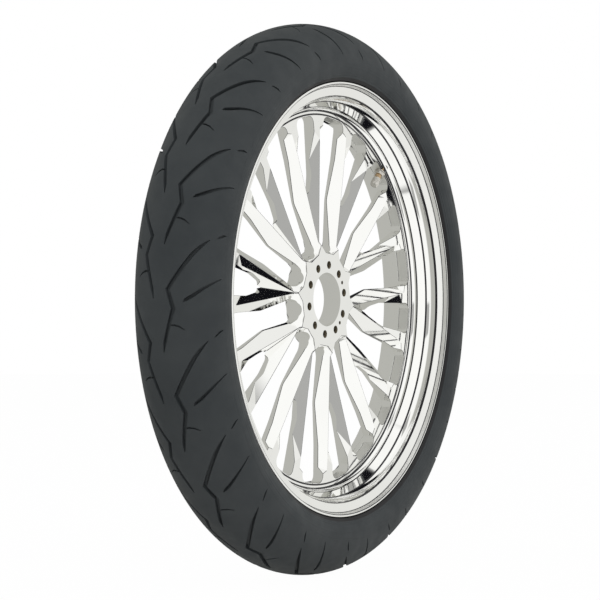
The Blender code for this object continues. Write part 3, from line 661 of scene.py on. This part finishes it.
def groove_body(path, first_angle, side):
    """One groove as a cutter bent on to the crown; side is 1 on the dished face and -1 behind it."""
    centres = []
    for share, degrees, half, depth in path:
        axial = share * HALF_WIDTH
        way = math.radians(degrees) * crown_radius(axial)
        centres.append(Vector((way, axial, half * MM, depth)))
    samples = []
    for a, b in zip(centres, centres[1:]):
        steps = max(1, round((b - a).to_2d().length / GROOVE_STEP))
        samples += [a.lerp(b, k / steps) for k in range(steps)]
    samples.append(centres[-1])
    body = bmesh.new()
    rows = []
    for i, sample in enumerate(samples):
        before = samples[max(i - 1, 0)].to_2d()
        after = samples[min(i + 1, len(samples) - 1)].to_2d()
        here = sample.to_2d()
        first = (here - before).normalized() if i else (after - here).normalized()
        last = (after - here).normalized() if i < len(samples) - 1 else first
        left = Vector((-first.y, first.x))
        mitre = (left + Vector((-last.y, last.x))).normalized()
        mitre /= max(mitre.dot(left), MITRE_LIMIT)
        floor = -GROOVE_DEPTH * sample.w
        row = []
        corners = (
            (GROOVE_MOUTH, GROOVE_OVERSHOOT),
            (-GROOVE_MOUTH, GROOVE_OVERSHOOT),
            (-GROOVE_FLOOR, floor),
            (GROOVE_FLOOR, floor),
        )
        for share, height in corners:
            flat = here + mitre * (sample.z * share)
            row.append(body.verts.new(on_crown(flat, height, first_angle, side)))
        rows.append(row)
    for here, there in zip(rows, rows[1:]):
        for i in range(4):
            j = (i + 1) % 4
            body.faces.new((here[i], here[j], there[j], there[i]))
    body.faces.new(rows[0])
    body.faces.new(rows[-1])
    bmesh.ops.recalc_face_normals(body, faces=body.faces)
    bmesh.ops.triangulate(body, faces=body.faces)
    return body


def on_crown(flat, height, first_angle, side):
    """A flat (way round, axial) point and a height, put on the crown."""
    way, axial = flat
    radius = crown_radius(axial)
    normal = crown_normal(axial, radius)
    turn = math.radians(first_angle) + way / radius
    reach = radius + normal.y * height
    place = side * (axial + normal.x * height)
    return Vector((-reach * math.cos(turn), -place, reach * math.sin(turn)))


def crown_normals(item):
    """Give the crown's faces the normals of the true curve, and leave groove walls flat."""
    mesh = item.data
    normals = []
    for face in mesh.polygons:
        middle = face.center
        radius = math.hypot(middle.x, middle.z)
        true = crown_normal(-middle.y, radius)
        outward = Vector((true.y * middle.x / radius, -true.x, true.y * middle.z / radius))
        on_surface = outward.dot(face.normal) > CROWN_FACING
        for index in face.vertices:
            if not on_surface:
                normals.append(face.normal)
                continue
            spot = mesh.vertices[index].co
            reach = math.hypot(spot.x, spot.z)
            true = crown_normal(-spot.y, reach)
            normals.append(Vector((true.y * spot.x / reach, -true.x, true.y * spot.z / reach)))
    mesh.shade_smooth()
    mesh.normals_split_custom_set(normals)


def build_tread(material):
    tread = spun("tread_skin", tread_section(), TYRE_STEPS)
    pitch = 360.0 / PITCH_COUNT
    for path in (MAIN_GROOVE, SLASH, BRANCH_SIPE, SHOULDER_SIPE):
        bodies = []
        for k in range(PITCH_COUNT):
            angle = FIRST_PITCH_ANGLE + pitch * k
            bodies.append(groove_body(path, angle, 1))
            bodies.append(groove_body(path, angle + pitch / 2, -1))
        cut(tread, merged("grooves", bodies))
    crown_normals(tread)
    dress(tread, "wheel", "tyre_rubber", material, "tread")


def sidewall_section():
    """Sidewall with a few moulded lines, down over the flange to the bead's toe."""
    start = crown_point(TREAD_EDGE_ANGLE - SEAM_ANGLE)
    widest = crown_point(0.0)
    lip = Vector((FLANGE_LIP + LAYER_GAP, FLANGE_TOP + 4 * LAYER_GAP))
    bulge = (widest + lip) / 2 + Vector((SIDE_BULGE, 0.0))
    face = smooth_curve([start, widest, bulge, lip], SIDE_STEPS)
    for point in face[1:-1]:
        point.x = min(point.x, HALF_WIDTH)
        for radius, half, height in SIDE_LINES:
            away = abs(point.y / MM - radius) / half
            if away < 1.0:
                point.x += height * MM * (0.5 + 0.5 * math.cos(math.pi * away))
    toe, toe_height = BEAD_TOE
    shoulder, shoulder_height = BEAD_SHOULDER
    heel = FLANGE_FACE - LAYER_GAP
    foot = BEAD_SEAT_RADIUS + LAYER_GAP
    rest = [
        Vector((FLANGE_FACE + FLANGE_CHAMFER - CHAMFER_EASE, FLANGE_TOP + LAYER_GAP)),
        Vector((heel, FLANGE_TOP - FLANGE_CHAMFER + CHAMFER_EASE)),
        Vector((heel, foot)),
        Vector((toe, foot)),
        Vector((toe, foot + toe_height)),
        Vector((shoulder, foot + shoulder_height)),
        Vector(SIDE_WAIST),
        Vector((HALF_WIDTH - SIDE_DEPTH, start.y)),
    ]
    return face + rest


def build_sidewalls(material, shade_material):
    section = sidewall_section()
    front = spun("sidewall_front_skin", section, TYRE_STEPS)
    rear = spun("sidewall_rear_skin", [Vector((-p.x, p.y)) for p in section], TYRE_STEPS)
    for item, node in ((front, "sidewall_front"), (rear, "sidewall_rear")):
        shade(item)
        dress(item, "wheel", "tyre_rubber", material, node)
        # Faces near the rim take the darker rubber, as painted shade along the lip
        item.data.materials.append(shade_material)
        for face in item.data.polygons:
            if math.hypot(face.center.x, face.center.z) < BEAD_SHADE_BAND:
                face.material_index = BEAD_SHADE_FINISH


# Rim and wheel centre


def scoop(start, end, depth):
    """Corners of a shallow hollow between two points of the rim's front."""
    start, end = Vector(start), Vector(end)
    way = (end - start).normalized()
    hollow = Vector((-way.y, way.x)) * depth
    corners = []
    for k in range(SCOOP_STEPS + 1):
        share = k / SCOOP_STEPS
        point = start.lerp(end, share) + hollow * (4.0 * share * (1.0 - share))
        corners.append((point.x, point.y, 0.0))
    return corners


def rim_section():
    """Rim hoop as corners with fillets: flange, seats, well, rear flange, barrel and stepped front."""
    seat = CENTRE_RADIUS + LAYER_GAP
    back = DISC_BACK - LAYER_GAP
    corners = [
        (FLANGE_LIP, FLANGE_TOP, 1.0 * MM),
        (FLANGE_FACE + FLANGE_CHAMFER, FLANGE_TOP, 1.0 * MM),
        (FLANGE_FACE, FLANGE_TOP - FLANGE_CHAMFER, 2.0 * MM),
        (FLANGE_FACE, BEAD_SEAT_RADIUS, 1.0 * MM),
        (FLANGE_FACE - SEAT_WIDTH, BEAD_SEAT_RADIUS - SEAT_TAPER, 2.0 * MM),
        (WELL_HALF_WIDTH, WELL_RADIUS, 3.0 * MM),
        (-WELL_HALF_WIDTH, WELL_RADIUS, 3.0 * MM),
        (SEAT_WIDTH - FLANGE_FACE, BEAD_SEAT_RADIUS - SEAT_TAPER, 2.0 * MM),
        (-FLANGE_FACE, BEAD_SEAT_RADIUS, 1.0 * MM),
        (-FLANGE_FACE, FLANGE_TOP - FLANGE_CHAMFER, 2.0 * MM),
        (-FLANGE_FACE - FLANGE_CHAMFER, FLANGE_TOP, 1.0 * MM),
        (-FLANGE_LIP, FLANGE_TOP, 1.0 * MM),
        (-FLANGE_LIP, FLANGE_TOP - 2.2 * MM, 0.8 * MM),
        (-FLANGE_FACE, BEAD_SEAT_RADIUS - 2.5 * MM, 3.0 * MM),
        (-18.0 * MM, BEAD_SEAT_RADIUS - 13.3 * MM, 2.0 * MM),
        (back - 6.2 * MM, SLOT_END, 1.0 * MM),
        (back, SLOT_END, 0.4 * MM),
        (back, seat, 0.0),
        (RING_FRONT, seat, 0.0),
        *scoop((RING_FRONT, seat + 0.3 * MM), (15.4 * MM, seat + 4.6 * MM), 0.6 * MM),
        (16.3 * MM, seat + 4.8 * MM, 0.4 * MM),
        (24.6 * MM, seat + 9.7 * MM, 0.4 * MM),
        *scoop((25.6 * MM, seat + 10.0 * MM), (36.1 * MM, BEAD_SEAT_RADIUS - 2.5 * MM), 0.8 * MM),
        (39.2 * MM, BEAD_SEAT_RADIUS - 1.5 * MM, 0.6 * MM),
        (41.8 * MM, BEAD_SEAT_RADIUS + 8.9 * MM, 1.2 * MM),
        (FLANGE_LIP, LIP_CREASE, 1.0 * MM),
    ]
    return rounded(corners)


def paint_crease_shade(item):
    """Paint shade on the rim's narrow steps and the lip's crease with the near-black finish, and give the
    lip's wall the satin finish.
    """
    creases = [Vector(c) * MM for c in RIM_CREASES]
    lip = Vector((FLANGE_LIP, LIP_CREASE))
    for face in item.data.polygons:
        place = Vector((-face.center.y, math.hypot(face.center.x, face.center.z)))
        inward = face.normal.x * face.center.x + face.normal.z * face.center.z < 0.0
        near_lip = (place - lip).length < LIP_SHADE_REACH
        if near_lip or min((place - c).length for c in creases) < PAINTED_SHADE_REACH:
            face.material_index = PAINTED_SHADE_FINISH
        elif inward and place.x > LIP_WALL and abs(face.normal.y) < LIP_FACING:
            face.material_index = LIP_FINISH


def build_rim(polish, *finishes):
    """Rim hoop with the valve's hole; the other finishes are the painted shade of the creases and the lip
    wall's satin.
    """
    rim = spun("rim_skin", rim_section(), WHEEL_STEPS)
    cut(rim, valve_drill())
    settle_normals(rim)
    dress(rim, "wheel", "chrome", polish, "rim")
    for finish in finishes:
        rim.data.materials.append(finish)
    paint_crease_shade(rim)


def centre_section():
    return [
        Vector((HUB_FRONT, HUB_BORE)),
        Vector((HUB_FRONT, FORK_RADIUS)),
        Vector((RING_FRONT, RIDGE_END)),
        Vector((RING_FRONT, RING_GROOVE - 1.4 * MM)),
        Vector((RING_FRONT - RING_GROOVE_DEPTH, RING_GROOVE - 1.0 * MM)),
        Vector((RING_FRONT - RING_GROOVE_DEPTH, RING_GROOVE - 0.4 * MM)),
        Vector((RING_FRONT, RING_GROOVE)),
        Vector((RING_FRONT, CENTRE_RADIUS)),
        Vector((DISC_BACK, CENTRE_RADIUS)),
        Vector((DISC_BACK, HUB_BACK_RADIUS + HUB_BACK_CHAMFER)),
        Vector((HUB_BACK, HUB_BACK_RADIUS)),
        Vector((HUB_BACK, HUB_BORE)),
    ]


def slot_outline(half):
    """A slot's whole outline from one half of it."""
    return rounded([*half, *((x, -y, radius) for x, y, radius in half[::-1])])


def facet_height(ridge, slope, x, y):
    """Height of the plane that falls from a ridge line towards the X axis."""
    start, end = ridge
    run = (end - start).to_2d()
    along = run.normalized()
    offset = Vector((x, y)) - start.to_2d()
    fall = slope * (offset.x * along.y - offset.y * along.x)
    return start.z + (end.z - start.z) * offset.dot(along) / run.length - fall


def facet_points(ridge, facet_angle, run_out, inner_corners, inner_edge, climb):
    """Corners of a trough along +X whose sloping sides are the facets that fall from the ridges.

    The run-out says how far before the ridge's end the floor starts to rise, and how far past it
    the floor is level. The climb is the length over which the inner end rises to the hub's step.
    """
    start, end = ridge
    slope = math.tan(math.radians(facet_angle))
    top = HUB_FRONT + CUT_MARGIN
    along = (end - start).to_2d().normalized()
    outward = Vector((-along.y, along.x))
    reach = (top - end.z) / slope
    upper_start = meet(start.to_2d(), inner_edge, start.to_2d() + outward * reach, along)
    upper_end = end.to_2d() + outward * reach
    floor_end = Vector((end.x - run_out[0], 0.0))
    points = [(end.x + run_out[1], 0.0, end.z)]
    for corner in (*inner_corners, upper_start, upper_end, floor_end):
        points.append((*corner, facet_height(ridge, slope, *corner)))
    for corner in inner_corners:
        points.append((corner.x - climb, corner.y, HUB_FRONT - STEP_HEIGHT))
        points.append((corner.x - climb - STEP_LEAN * (STEP_HEIGHT + CUT_MARGIN), corner.y, top))
    points.append((*upper_start, max(top, facet_height(ridge, slope, *upper_start))))
    return points + [(x, -y, z) for x, y, z in points if y > 0.0]


def hull(points, matrix):
    body = bmesh.new()
    corners = [body.verts.new(matrix @ Vector(p)) for p in points]
    result = bmesh.ops.convex_hull(body, input=corners)
    loose = [e for e in result["geom_interior"] if isinstance(e, bmesh.types.BMVert)]
    bmesh.ops.delete(body, geom=loose, context="VERTS")
    bmesh.ops.recalc_face_normals(body, faces=body.faces)
    return body


def spoke_ridge(slot_offset):
    """Ridge of one spoke branch, seen from an axis that lies a number of degrees off the pair's own."""
    half_pair = math.radians(PAIR_ANGLE / 2)
    start_angle = math.radians(slot_offset)
    end_angle = abs(start_angle - half_pair / 2)
    start = Vector((FORK_RADIUS * math.cos(start_angle), FORK_RADIUS * math.sin(start_angle), 0.0))
    end = Vector((RIDGE_END * math.cos(end_angle), RIDGE_END * math.sin(end_angle), 0.0))
    start.z = HUB_FRONT - FORK_DROP
    end.z = RING_FRONT + RIDGE_STAND
    return start, end


def face_matrix(degrees):
    """From a frame with X along a wheel angle and Z towards the dished face, to the world."""
    radial = on_wheel(0.0, 1.0, degrees)
    axial = Vector((0.0, -1.0, 0.0))
    side = axial.cross(radial)
    return Matrix((radial, side, axial)).transposed().to_4x4()


def build_centre(*finishes):
    """Disc with its facets, slots and holes; finishes are polish, hole walls, painted dark edge lines and
    satin.
    """
    centre = spun("wheel_centre_skin", centre_section(), WHEEL_STEPS)
    slots = [LONG_SLOT_ANGLE + PAIR_ANGLE * k for k in range(PAIR_COUNT)]
    pairs = [angle + PAIR_ANGLE / 2 for angle in slots]
    low = HUB_BACK - CUT_MARGIN
    high = HUB_FRONT + CUT_MARGIN
    ridge = spoke_ridge(PAIR_ANGLE / 2)
    arrow = Vector(ARROW_START)
    corners = [Vector((arrow.x, 0.0)), arrow]
    edge = ridge[0].to_2d() - arrow
    points = facet_points(ridge, OUTER_FACET_ANGLE, OUTER_RUN_OUT, corners, edge, OUTER_CLIMB)
    even = merged("facets", [hull(points, face_matrix(a)) for a in slots[::2]])
    odd = merged("facets", [hull(points, face_matrix(a)) for a in slots[1::2]])
    ridge = spoke_ridge(0.0)
    corners = [Vector((FORK_RADIUS - FORK_BLUNT, 0.0))]
    edge = Vector((0.0, 1.0))
    points = facet_points(ridge, INNER_FACET_ANGLE, INNER_RUN_OUT, corners, edge, INNER_CLIMB)
    inner = merged("facets", [hull(points, face_matrix(a)) for a in pairs])
    cut(centre, even, odd, inner)
    long_slots = [prism(slot_outline(LONG_SLOT), low, high, face_matrix(a)) for a in slots]
    short_slots = [prism(slot_outline(SHORT_SLOT), low, high, face_matrix(a)) for a in pairs]
    cut(centre, merged("slots", long_slots), merged("slots", short_slots))
    holes = [hole_body(BOLT_HOLE, low, high, a) for a in slots]
    holes += [hole_body(PIN_HOLE, low, high, pairs[k]) for k in PIN_HOLE_PAIRS]
    cut(centre, merged("holes", holes), valve_drill())
    drop_short_edges(centre)
    centre.data.materials.clear()
    for finish in finishes:
        centre.data.materials.append(finish)
    break_edges(centre)
    settle_normals(centre)
    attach(centre, "wheel")
    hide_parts("wheel_centre")
    paint_centre(centre, slots + [pairs[k] for k in PIN_HOLE_PAIRS])


def paint_centre(item, angles):
    """Give the walls of the small holes, the slots' ends and the plain back their own finishes."""
    middles = [on_wheel(0.0, BOLT_CIRCLE, a) for a in angles]
    for face in item.data.polygons:
        outward = Vector((face.center.x, 0.0, face.center.z))
        near_end = SLOT_END - outward.length < SLOT_END_REACH
        slot_end = near_end and face.normal.dot(outward.normalized()) < -SLOT_END_FACING
        if face.normal.y > BACK_FACING or slot_end:
            face.material_index = BACK_FINISH
        if abs(face.normal.y) > BACK_FACING:
            continue
        if min((outward - m).length for m in middles) < HOLE_WALL_REACH:
            face.material_index = HOLE_FINISH


def hole_body(radius, low, high, degrees):
    turns = [math.tau * k / HOLE_STEPS for k in range(HOLE_STEPS)]
    outline = [(BOLT_CIRCLE + radius * math.cos(t), radius * math.sin(t)) for t in turns]
    return prism(outline, low, high, face_matrix(degrees))


def drop_short_edges(item):
    """Close up the slivers that the cuts left."""
    body = bmesh.new()
    body.from_mesh(item.data)
    bmesh.ops.dissolve_degenerate(body, dist=SHORT_EDGE, edges=body.edges)
    body.to_mesh(item.data)
    body.free()


def break_edges(item):
    """A narrow chamfer along the spokes' sharp edges, in the near-black finish: painted dark reflection
    lines.
    """
    body = bmesh.new()
    body.from_mesh(item.data)
    weight = body.edges.layers.float.new("bevel_weight_edge")
    for edge in body.edges:
        middle = (edge.verts[0].co + edge.verts[1].co) / 2
        if math.hypot(middle.x, middle.z) > EDGES_FROM:
            edge[weight] = float(edge.calc_face_angle(0.0) > math.radians(EDGE_ANGLE))
    body.to_mesh(item.data)
    body.free()
    bevel = item.modifiers.new("edges", "BEVEL")
    bevel.width = EDGE_BREAK
    bevel.segments = 1
    # The chamfers take the near-black finish as painted dark reflection lines
    bevel.material = PAINTED_EDGE_SHADE
    bevel.limit_method = "WEIGHT"
    bevel.use_clamp_overlap = False
    apply_modifiers(item)


def settle_normals(item):
    """Keep flat faces flat where rounded edges meet them."""
    shade(item, FLAT_SHADE_ANGLE)
    weighted = item.modifiers.new("normals", "WEIGHTED_NORMAL")
    weighted.keep_sharp = True
    weighted.weight = FACE_WEIGHT
    apply_modifiers(item)


# Valve


def valve_matrix():
    """Frame on the slot's end, with Z towards the hub."""
    radial = on_wheel(0.0, 1.0, VALVE_ANGLE)
    axial = Vector((0.0, -1.0, 0.0))
    inward = -radial
    side = inward.cross(axial)
    turn = Matrix((axial, side, inward)).transposed().to_4x4()
    turn.translation = on_wheel(VALVE_AXIAL, SLOT_END, VALVE_ANGLE)
    return turn


def valve_drill():
    top, bottom = DRILL_ENDS
    section = [(top, 0.0), (top, VALVE_HOLE), (bottom, VALVE_HOLE), (bottom, 0.0)]
    return spun("drill", section, HOLE_STEPS, closed=False, matrix=valve_matrix())


def thread(low, high, crest):
    """Section points of a fine thread, from its low end to its high one."""
    points = []
    for k in range(int((high - low) / THREAD_PITCH)):
        foot = low + THREAD_PITCH * k
        points.append((foot, crest - THREAD_DEPTH))
        points += [(foot + place, crest) for place in THREAD_CREST]
    return points


def build_stem(matrix, material):
    head_top = SEAL_FACE - SEAL_THICKNESS - 2 * LAYER_GAP
    head_radius, head_height = STEM_HEAD
    mouth_height, mouth_depth = STEM_MOUTH
    shoulder = STEM_LENGTH - STEM_BORE_DEPTH
    section = [
        (head_top - head_height, STEM_AIRWAY),
        (head_top - head_height, head_radius - STEM_HEAD_EDGE),
        (head_top - head_height + STEM_HEAD_EDGE, head_radius),
        (head_top, head_radius),
        (head_top, STEM_RADIUS),
        *thread(0.0, STEM_LENGTH - mouth_height, STEM_RADIUS),
        (STEM_LENGTH, STEM_RADIUS - mouth_depth),
        (STEM_LENGTH, STEM_BORE),
        (shoulder, STEM_BORE),
        (shoulder, STEM_AIRWAY),
    ]
    stem = spun("valve_stem_skin", section, VALVE_STEPS, matrix=matrix)
    shade(stem)
    dress(stem, "wheel", "brass", material, "valve_stem")


def hex_radius(limit, turn):
    """Reach of a hexagon at an angle, held to a round limit."""
    sixth = math.pi / 3
    return min(NUT_HALF_FLATS / math.cos(turn % sixth - sixth / 2), limit)


def build_nut(matrix, material):
    """Washer and chamfered hexagon nut."""
    bore = STEM_RADIUS + LAYER_GAP
    radius, height = WASHER
    low = LAYER_GAP
    top = low + height
    section = [
        (low, bore),
        (low, radius - WASHER_EDGE),
        (low + WASHER_EDGE, radius),
        (top - WASHER_EDGE, radius),
        (top, radius - WASHER_EDGE),
        (top, bore),
    ]
    washer = spun("valve_washer_skin", section, VALVE_STEPS, matrix=matrix)
    shade(washer)
    dress(washer, "wheel", "nickel", material, "valve_washer")
    low = top + LAYER_GAP
    top = low + NUT_HEIGHT
    section = [(low, bore)]
    for end, way, shares in ((low, 1.0, NUT_SHARES), (top, -1.0, NUT_SHARES[::-1])):
        for share in shares:
            limit = NUT_HALF_FLATS * (NUT_ROUND + NUT_ROUND_GAIN * share)
            reach = partial(hex_radius, limit)
            section.append((end + way * NUT_CHAMFER * share, reach))
    section.append((top, bore))
    nut = spun("valve_nut_skin", section, 3 * VALVE_STEPS, matrix=matrix)
    shade(nut, NUT_SHADE_ANGLE)
    dress(nut, "wheel", "nickel", material, "valve_nut")


def build_spring(matrix, material):
    """Coil spring under the valve's pin."""
    low = STEM_LENGTH - STEM_BORE_DEPTH + LAYER_GAP + SPRING_WIRE
    high = PLUNGER_BOTTOM - LAYER_GAP - SPRING_WIRE
    steps = SPRING_TURNS * SPRING_STEPS
    axis = Vector((0.0, 0.0, 1.0))
    body = bmesh.new()
    rings = []
    for k in range(steps + 1):
        turn = math.tau * k / SPRING_STEPS
        outward = Vector((math.cos(turn), math.sin(turn), 0.0))
        middle = outward * SPRING_RADIUS + axis * (low + (high - low) * k / steps)
        ring = []
        for i in range(WIRE_STEPS):
            bend = math.tau * i / WIRE_STEPS
            offset = outward * math.cos(bend) + axis * math.sin(bend)
            ring.append(body.verts.new(matrix @ (middle + offset * SPRING_WIRE)))
        rings.append(ring)
    for here, there in zip(rings, rings[1:]):
        for i in range(WIRE_STEPS):
            j = (i + 1) % WIRE_STEPS
            body.faces.new((here[i], here[j], there[j], there[i]))
    body.faces.new(rings[0])
    body.faces.new(rings[-1])
    bmesh.ops.recalc_face_normals(body, faces=body.faces)
    spring = link("valve_spring_skin", body)
    shade(spring, ROUND_SHADE_ANGLE)
    dress(spring, "wheel", "nickel", material, "valve_spring")
    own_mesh(spring)


def ribbed(turn):
    return CAP_RADIUS - CAP_RIB_DEPTH * (0.5 + 0.5 * math.cos(CAP_RIBS * turn))


def build_cap(matrix, material):
    """Ribbed screw cap with a rounded top and a plain band at its mouth."""
    groove = CAP_RADIUS - CAP_RIB_DEPTH
    section = [
        (CAP_TOP, 0.0),
        (CAP_TOP, 2.8 * MM),
        (CAP_TOP - 0.2 * MM, 3.7 * MM),
        (CAP_TOP - 0.7 * MM, 4.5 * MM),
        (CAP_TOP - 1.2 * MM, groove),
        (CAP_TOP - 1.6 * MM, ribbed),
        (CAP_BOTTOM + 2.6 * MM, ribbed),
        (CAP_BOTTOM + 2.2 * MM, groove),
        (CAP_BOTTOM + 1.8 * MM, groove),
        (CAP_BOTTOM + 1.5 * MM, CAP_RADIUS),
        (CAP_BOTTOM + 0.3 * MM, CAP_RADIUS),
        (CAP_BOTTOM, CAP_RADIUS - 0.3 * MM),
        (CAP_BOTTOM, CAP_BORE),
        (CAP_ROOF, CAP_BORE),
        (CAP_ROOF, 0.0),
    ]
    cap = spun("valve_cap_skin", section, 4 * VALVE_STEPS, closed=False, matrix=matrix)
    shade(cap, ROUND_SHADE_ANGLE)
    dress(cap, "valve_cap", "nickel", material, "valve_cap")


# Scene


def build_floor():
    """Pale floor that the camera sees almost white, with a trace of the shadow."""
    body = bmesh.new()
    bmesh.ops.create_circle(body, cap_ends=True, segments=FLOOR_STEPS, radius=FLOOR_RADIUS)
    floor = link("floor", body)
    floor.location.z = CAD_BOX[0].z
    material, tree, shader = new_material("floor_white")
    shader.inputs["Base Color"].default_value = FLOOR_COLOUR
    shader.inputs["Roughness"].default_value = FLOOR_ROUGHNESS
    glow = tree.nodes.new("ShaderNodeEmission")
    mix = tree.nodes.new("ShaderNodeMixShader")
    path = tree.nodes.new("ShaderNodeLightPath")
    output = tree.nodes["Material Output"]
    share = tree.nodes.new("ShaderNodeMath")
    share.operation = "MULTIPLY"
    share.inputs[1].default_value = FLOOR_GLOW
    tree.links.new(path.outputs["Is Camera Ray"], share.inputs[0])
    tree.links.new(share.outputs["Value"], mix.inputs["Fac"])
    tree.links.new(shader.outputs["BSDF"], mix.inputs[1])
    tree.links.new(glow.outputs["Emission"], mix.inputs[2])
    tree.links.new(mix.outputs["Shader"], output.inputs["Surface"])
    floor.data.materials.append(material)
    floor.visible_glossy = False


def direction_share(tree, source, direction, low, high):
    """How far a ray's direction lies towards a given one, from 0 below low to 1 above high."""
    dot = tree.nodes.new("ShaderNodeVectorMath")
    dot.operation = "DOT_PRODUCT"
    tree.links.new(source, dot.inputs[0])
    dot.inputs[1].default_value = direction
    node = tree.nodes.new("ShaderNodeMapRange")
    node.interpolation_type = "SMOOTHSTEP"
    node.inputs["From Min"].default_value = low
    node.inputs["From Max"].default_value = high
    tree.links.new(dot.outputs["Value"], node.inputs["Value"])
    return node.outputs["Result"]


def blend_colour(tree, share, below, above):
    """Mix of two colours; either may be a plain colour or another node's output."""
    node = tree.nodes.new("ShaderNodeMix")
    node.data_type = "RGBA"
    tree.links.new(share, node.inputs["Factor"])
    for value, socket in ((below, MIX_BELOW), (above, MIX_ABOVE)):
        if isinstance(value, tuple):
            node.inputs[socket].default_value = (*value, 1.0)
        else:
            tree.links.new(value, node.inputs[socket])
    return node.outputs[MIX_RESULT]


def flag_share(tree, source, heading, half_span, low, high):
    """A flag or card: 1 within a span of headings in degrees and between two heights.

    Headings are counted from +X towards +Y. Heights are those of a ray one long, and may be negative.
    """
    level = tree.nodes.new("ShaderNodeVectorMath")
    level.operation = "MULTIPLY"
    level.inputs[1].default_value = (1.0, 1.0, 0.0)
    tree.links.new(source, level.inputs[0])
    flat = tree.nodes.new("ShaderNodeVectorMath")
    flat.operation = "NORMALIZE"
    tree.links.new(level.outputs["Vector"], flat.inputs[0])
    turn = math.radians(heading)
    middle = (math.cos(turn), math.sin(turn), 0.0)
    edge = math.cos(math.radians(half_span + FLAG_BLUR))
    full = math.cos(math.radians(half_span - FLAG_BLUR))
    across = direction_share(tree, flat.outputs["Vector"], middle, edge, full)
    up = (0.0, 0.0, math.copysign(1.0, low))
    near = direction_share(tree, source, up, abs(low) - FLAG_SOFT, abs(low) + FLAG_SOFT)
    far = direction_share(tree, source, up, abs(high) + FLAG_SOFT, abs(high) - FLAG_SOFT)
    return product(tree, across, product(tree, near, far))


def product(tree, first, second):
    node = tree.nodes.new("ShaderNodeMath")
    node.operation = "MULTIPLY"
    tree.links.new(first, node.inputs[0])
    tree.links.new(second, node.inputs[1])
    return node.outputs["Value"]


def build_world():
    """White studio: a bright front, a warm grey back, and flags and cards for the metal to show."""
    world = bpy.data.worlds.new("studio")
    bpy.context.scene.world = world
    world.use_nodes = True
    tree = world.node_tree
    tree.nodes.clear()
    direction = tree.nodes.new("ShaderNodeTexCoord").outputs["Generated"]
    far = direction_share(tree, direction, (1.0, 0.0, 0.0), *FAR_RANGE)
    bright = blend_colour(tree, far, FRONT_COLOUR, FAR_COLOUR)
    front = direction_share(tree, direction, FRONT_HEADING, *FRONT_RANGE)
    tone = blend_colour(tree, front, BACK_COLOUR, bright)
    for boards, dark in ((CARDS, CARD_TONE), (FLAGS, FLAG_TONE)):
        for board in boards:
            tone = blend_colour(tree, flag_share(tree, direction, *board), tone, dark)
    for up in (1.0, -1.0):
        straight = direction_share(tree, direction, (0.0, 0.0, up), *POLE_RANGE)
        tone = blend_colour(tree, straight, tone, POLE_COLOUR)
    studio = tree.nodes.new("ShaderNodeBackground")
    tree.links.new(tone, studio.inputs["Color"])
    white = tree.nodes.new("ShaderNodeBackground")
    white.inputs["Color"].default_value = BACKDROP_COLOUR
    soft = tree.nodes.new("ShaderNodeBackground")
    soft.inputs["Color"].default_value = SOFT_COLOUR
    path = tree.nodes.new("ShaderNodeLightPath")
    inner = tree.nodes.new("ShaderNodeMixShader")
    tree.links.new(path.outputs["Is Glossy Ray"], inner.inputs["Fac"])
    tree.links.new(soft.outputs["Background"], inner.inputs[1])
    tree.links.new(studio.outputs["Background"], inner.inputs[2])
    outer = tree.nodes.new("ShaderNodeMixShader")
    tree.links.new(path.outputs["Is Camera Ray"], outer.inputs["Fac"])
    tree.links.new(inner.outputs["Shader"], outer.inputs[1])
    tree.links.new(white.outputs["Background"], outer.inputs[2])
    output = tree.nodes.new("ShaderNodeOutputWorld")
    tree.links.new(outer.outputs["Shader"], output.inputs["Surface"])


def build_lamp(name, place, size, power):
    """A round lamp aimed at the wheel's centre, kept out of the metal's reflections."""
    lamp = bpy.data.lights.new(name, "AREA")
    lamp.shape = "DISK"
    lamp.size = size
    lamp.energy = power
    item = bpy.data.objects.new(name, lamp)
    bpy.context.scene.collection.objects.link(item)
    item.location = place
    item.rotation_euler = (-Vector(place)).to_track_quat("-Z", "Y").to_euler()
    item.visible_glossy = False
    item.visible_camera = False


def build_camera():
    camera = bpy.data.cameras.new("camera")
    camera.lens = CAMERA_LENS
    camera.sensor_width = CAMERA_SENSOR
    camera.shift_x, camera.shift_y = CAMERA_SHIFT
    item = bpy.data.objects.new("camera", camera)
    bpy.context.scene.collection.objects.link(item)
    item.location = CAMERA_PLACE
    item.rotation_euler = Vector(CAMERA_AIM).to_track_quat("-Z", "Y").to_euler()
    bpy.context.scene.camera = item


def dress_nodes(looks):
    """Finish the CAD solids that show as they are, by their record slot."""
    slots = {part["node"]: part["material_slot"] for part in frame["record"]["subparts"]}
    for name, node in frame["nodes"].items():
        material = looks[slots[name]]
        if node.data.materials:
            node.data.materials[0] = material
        else:
            node.data.materials.append(material)


finishes = {name: rubber_material(f"{name}_look", *values) for name, values in RUBBERS.items()}
for metal, metal_values in METALS.items():
    finishes[metal] = metal_material(f"{metal}_look", *metal_values)
finishes["hole"] = dark_hole_material()
finishes["cord_ply"] = cord_material()
dress_nodes(finishes)

build_tread(finishes["tyre_rubber"])
build_sidewalls(finishes["tyre_rubber"], finishes["painted_shade_rubber"])
build_rim(finishes["chrome"], finishes["painted_shade"], finishes["satin"])
build_centre(finishes["chrome"], finishes["hole"], finishes["painted_shade"], finishes["satin"])
valve_place = valve_matrix()
build_stem(valve_place, finishes["brass"])
build_nut(valve_place, finishes["nickel"])
build_spring(valve_place, finishes["nickel"])
build_cap(valve_place, finishes["nickel"])

build_floor()
build_world()
for lamp_name, (lamp_place, lamp_size, lamp_power) in LAMPS.items():
    build_lamp(lamp_name, lamp_place, lamp_size, lamp_power)
build_camera()
bpy.context.scene.view_settings.view_transform = "Standard"
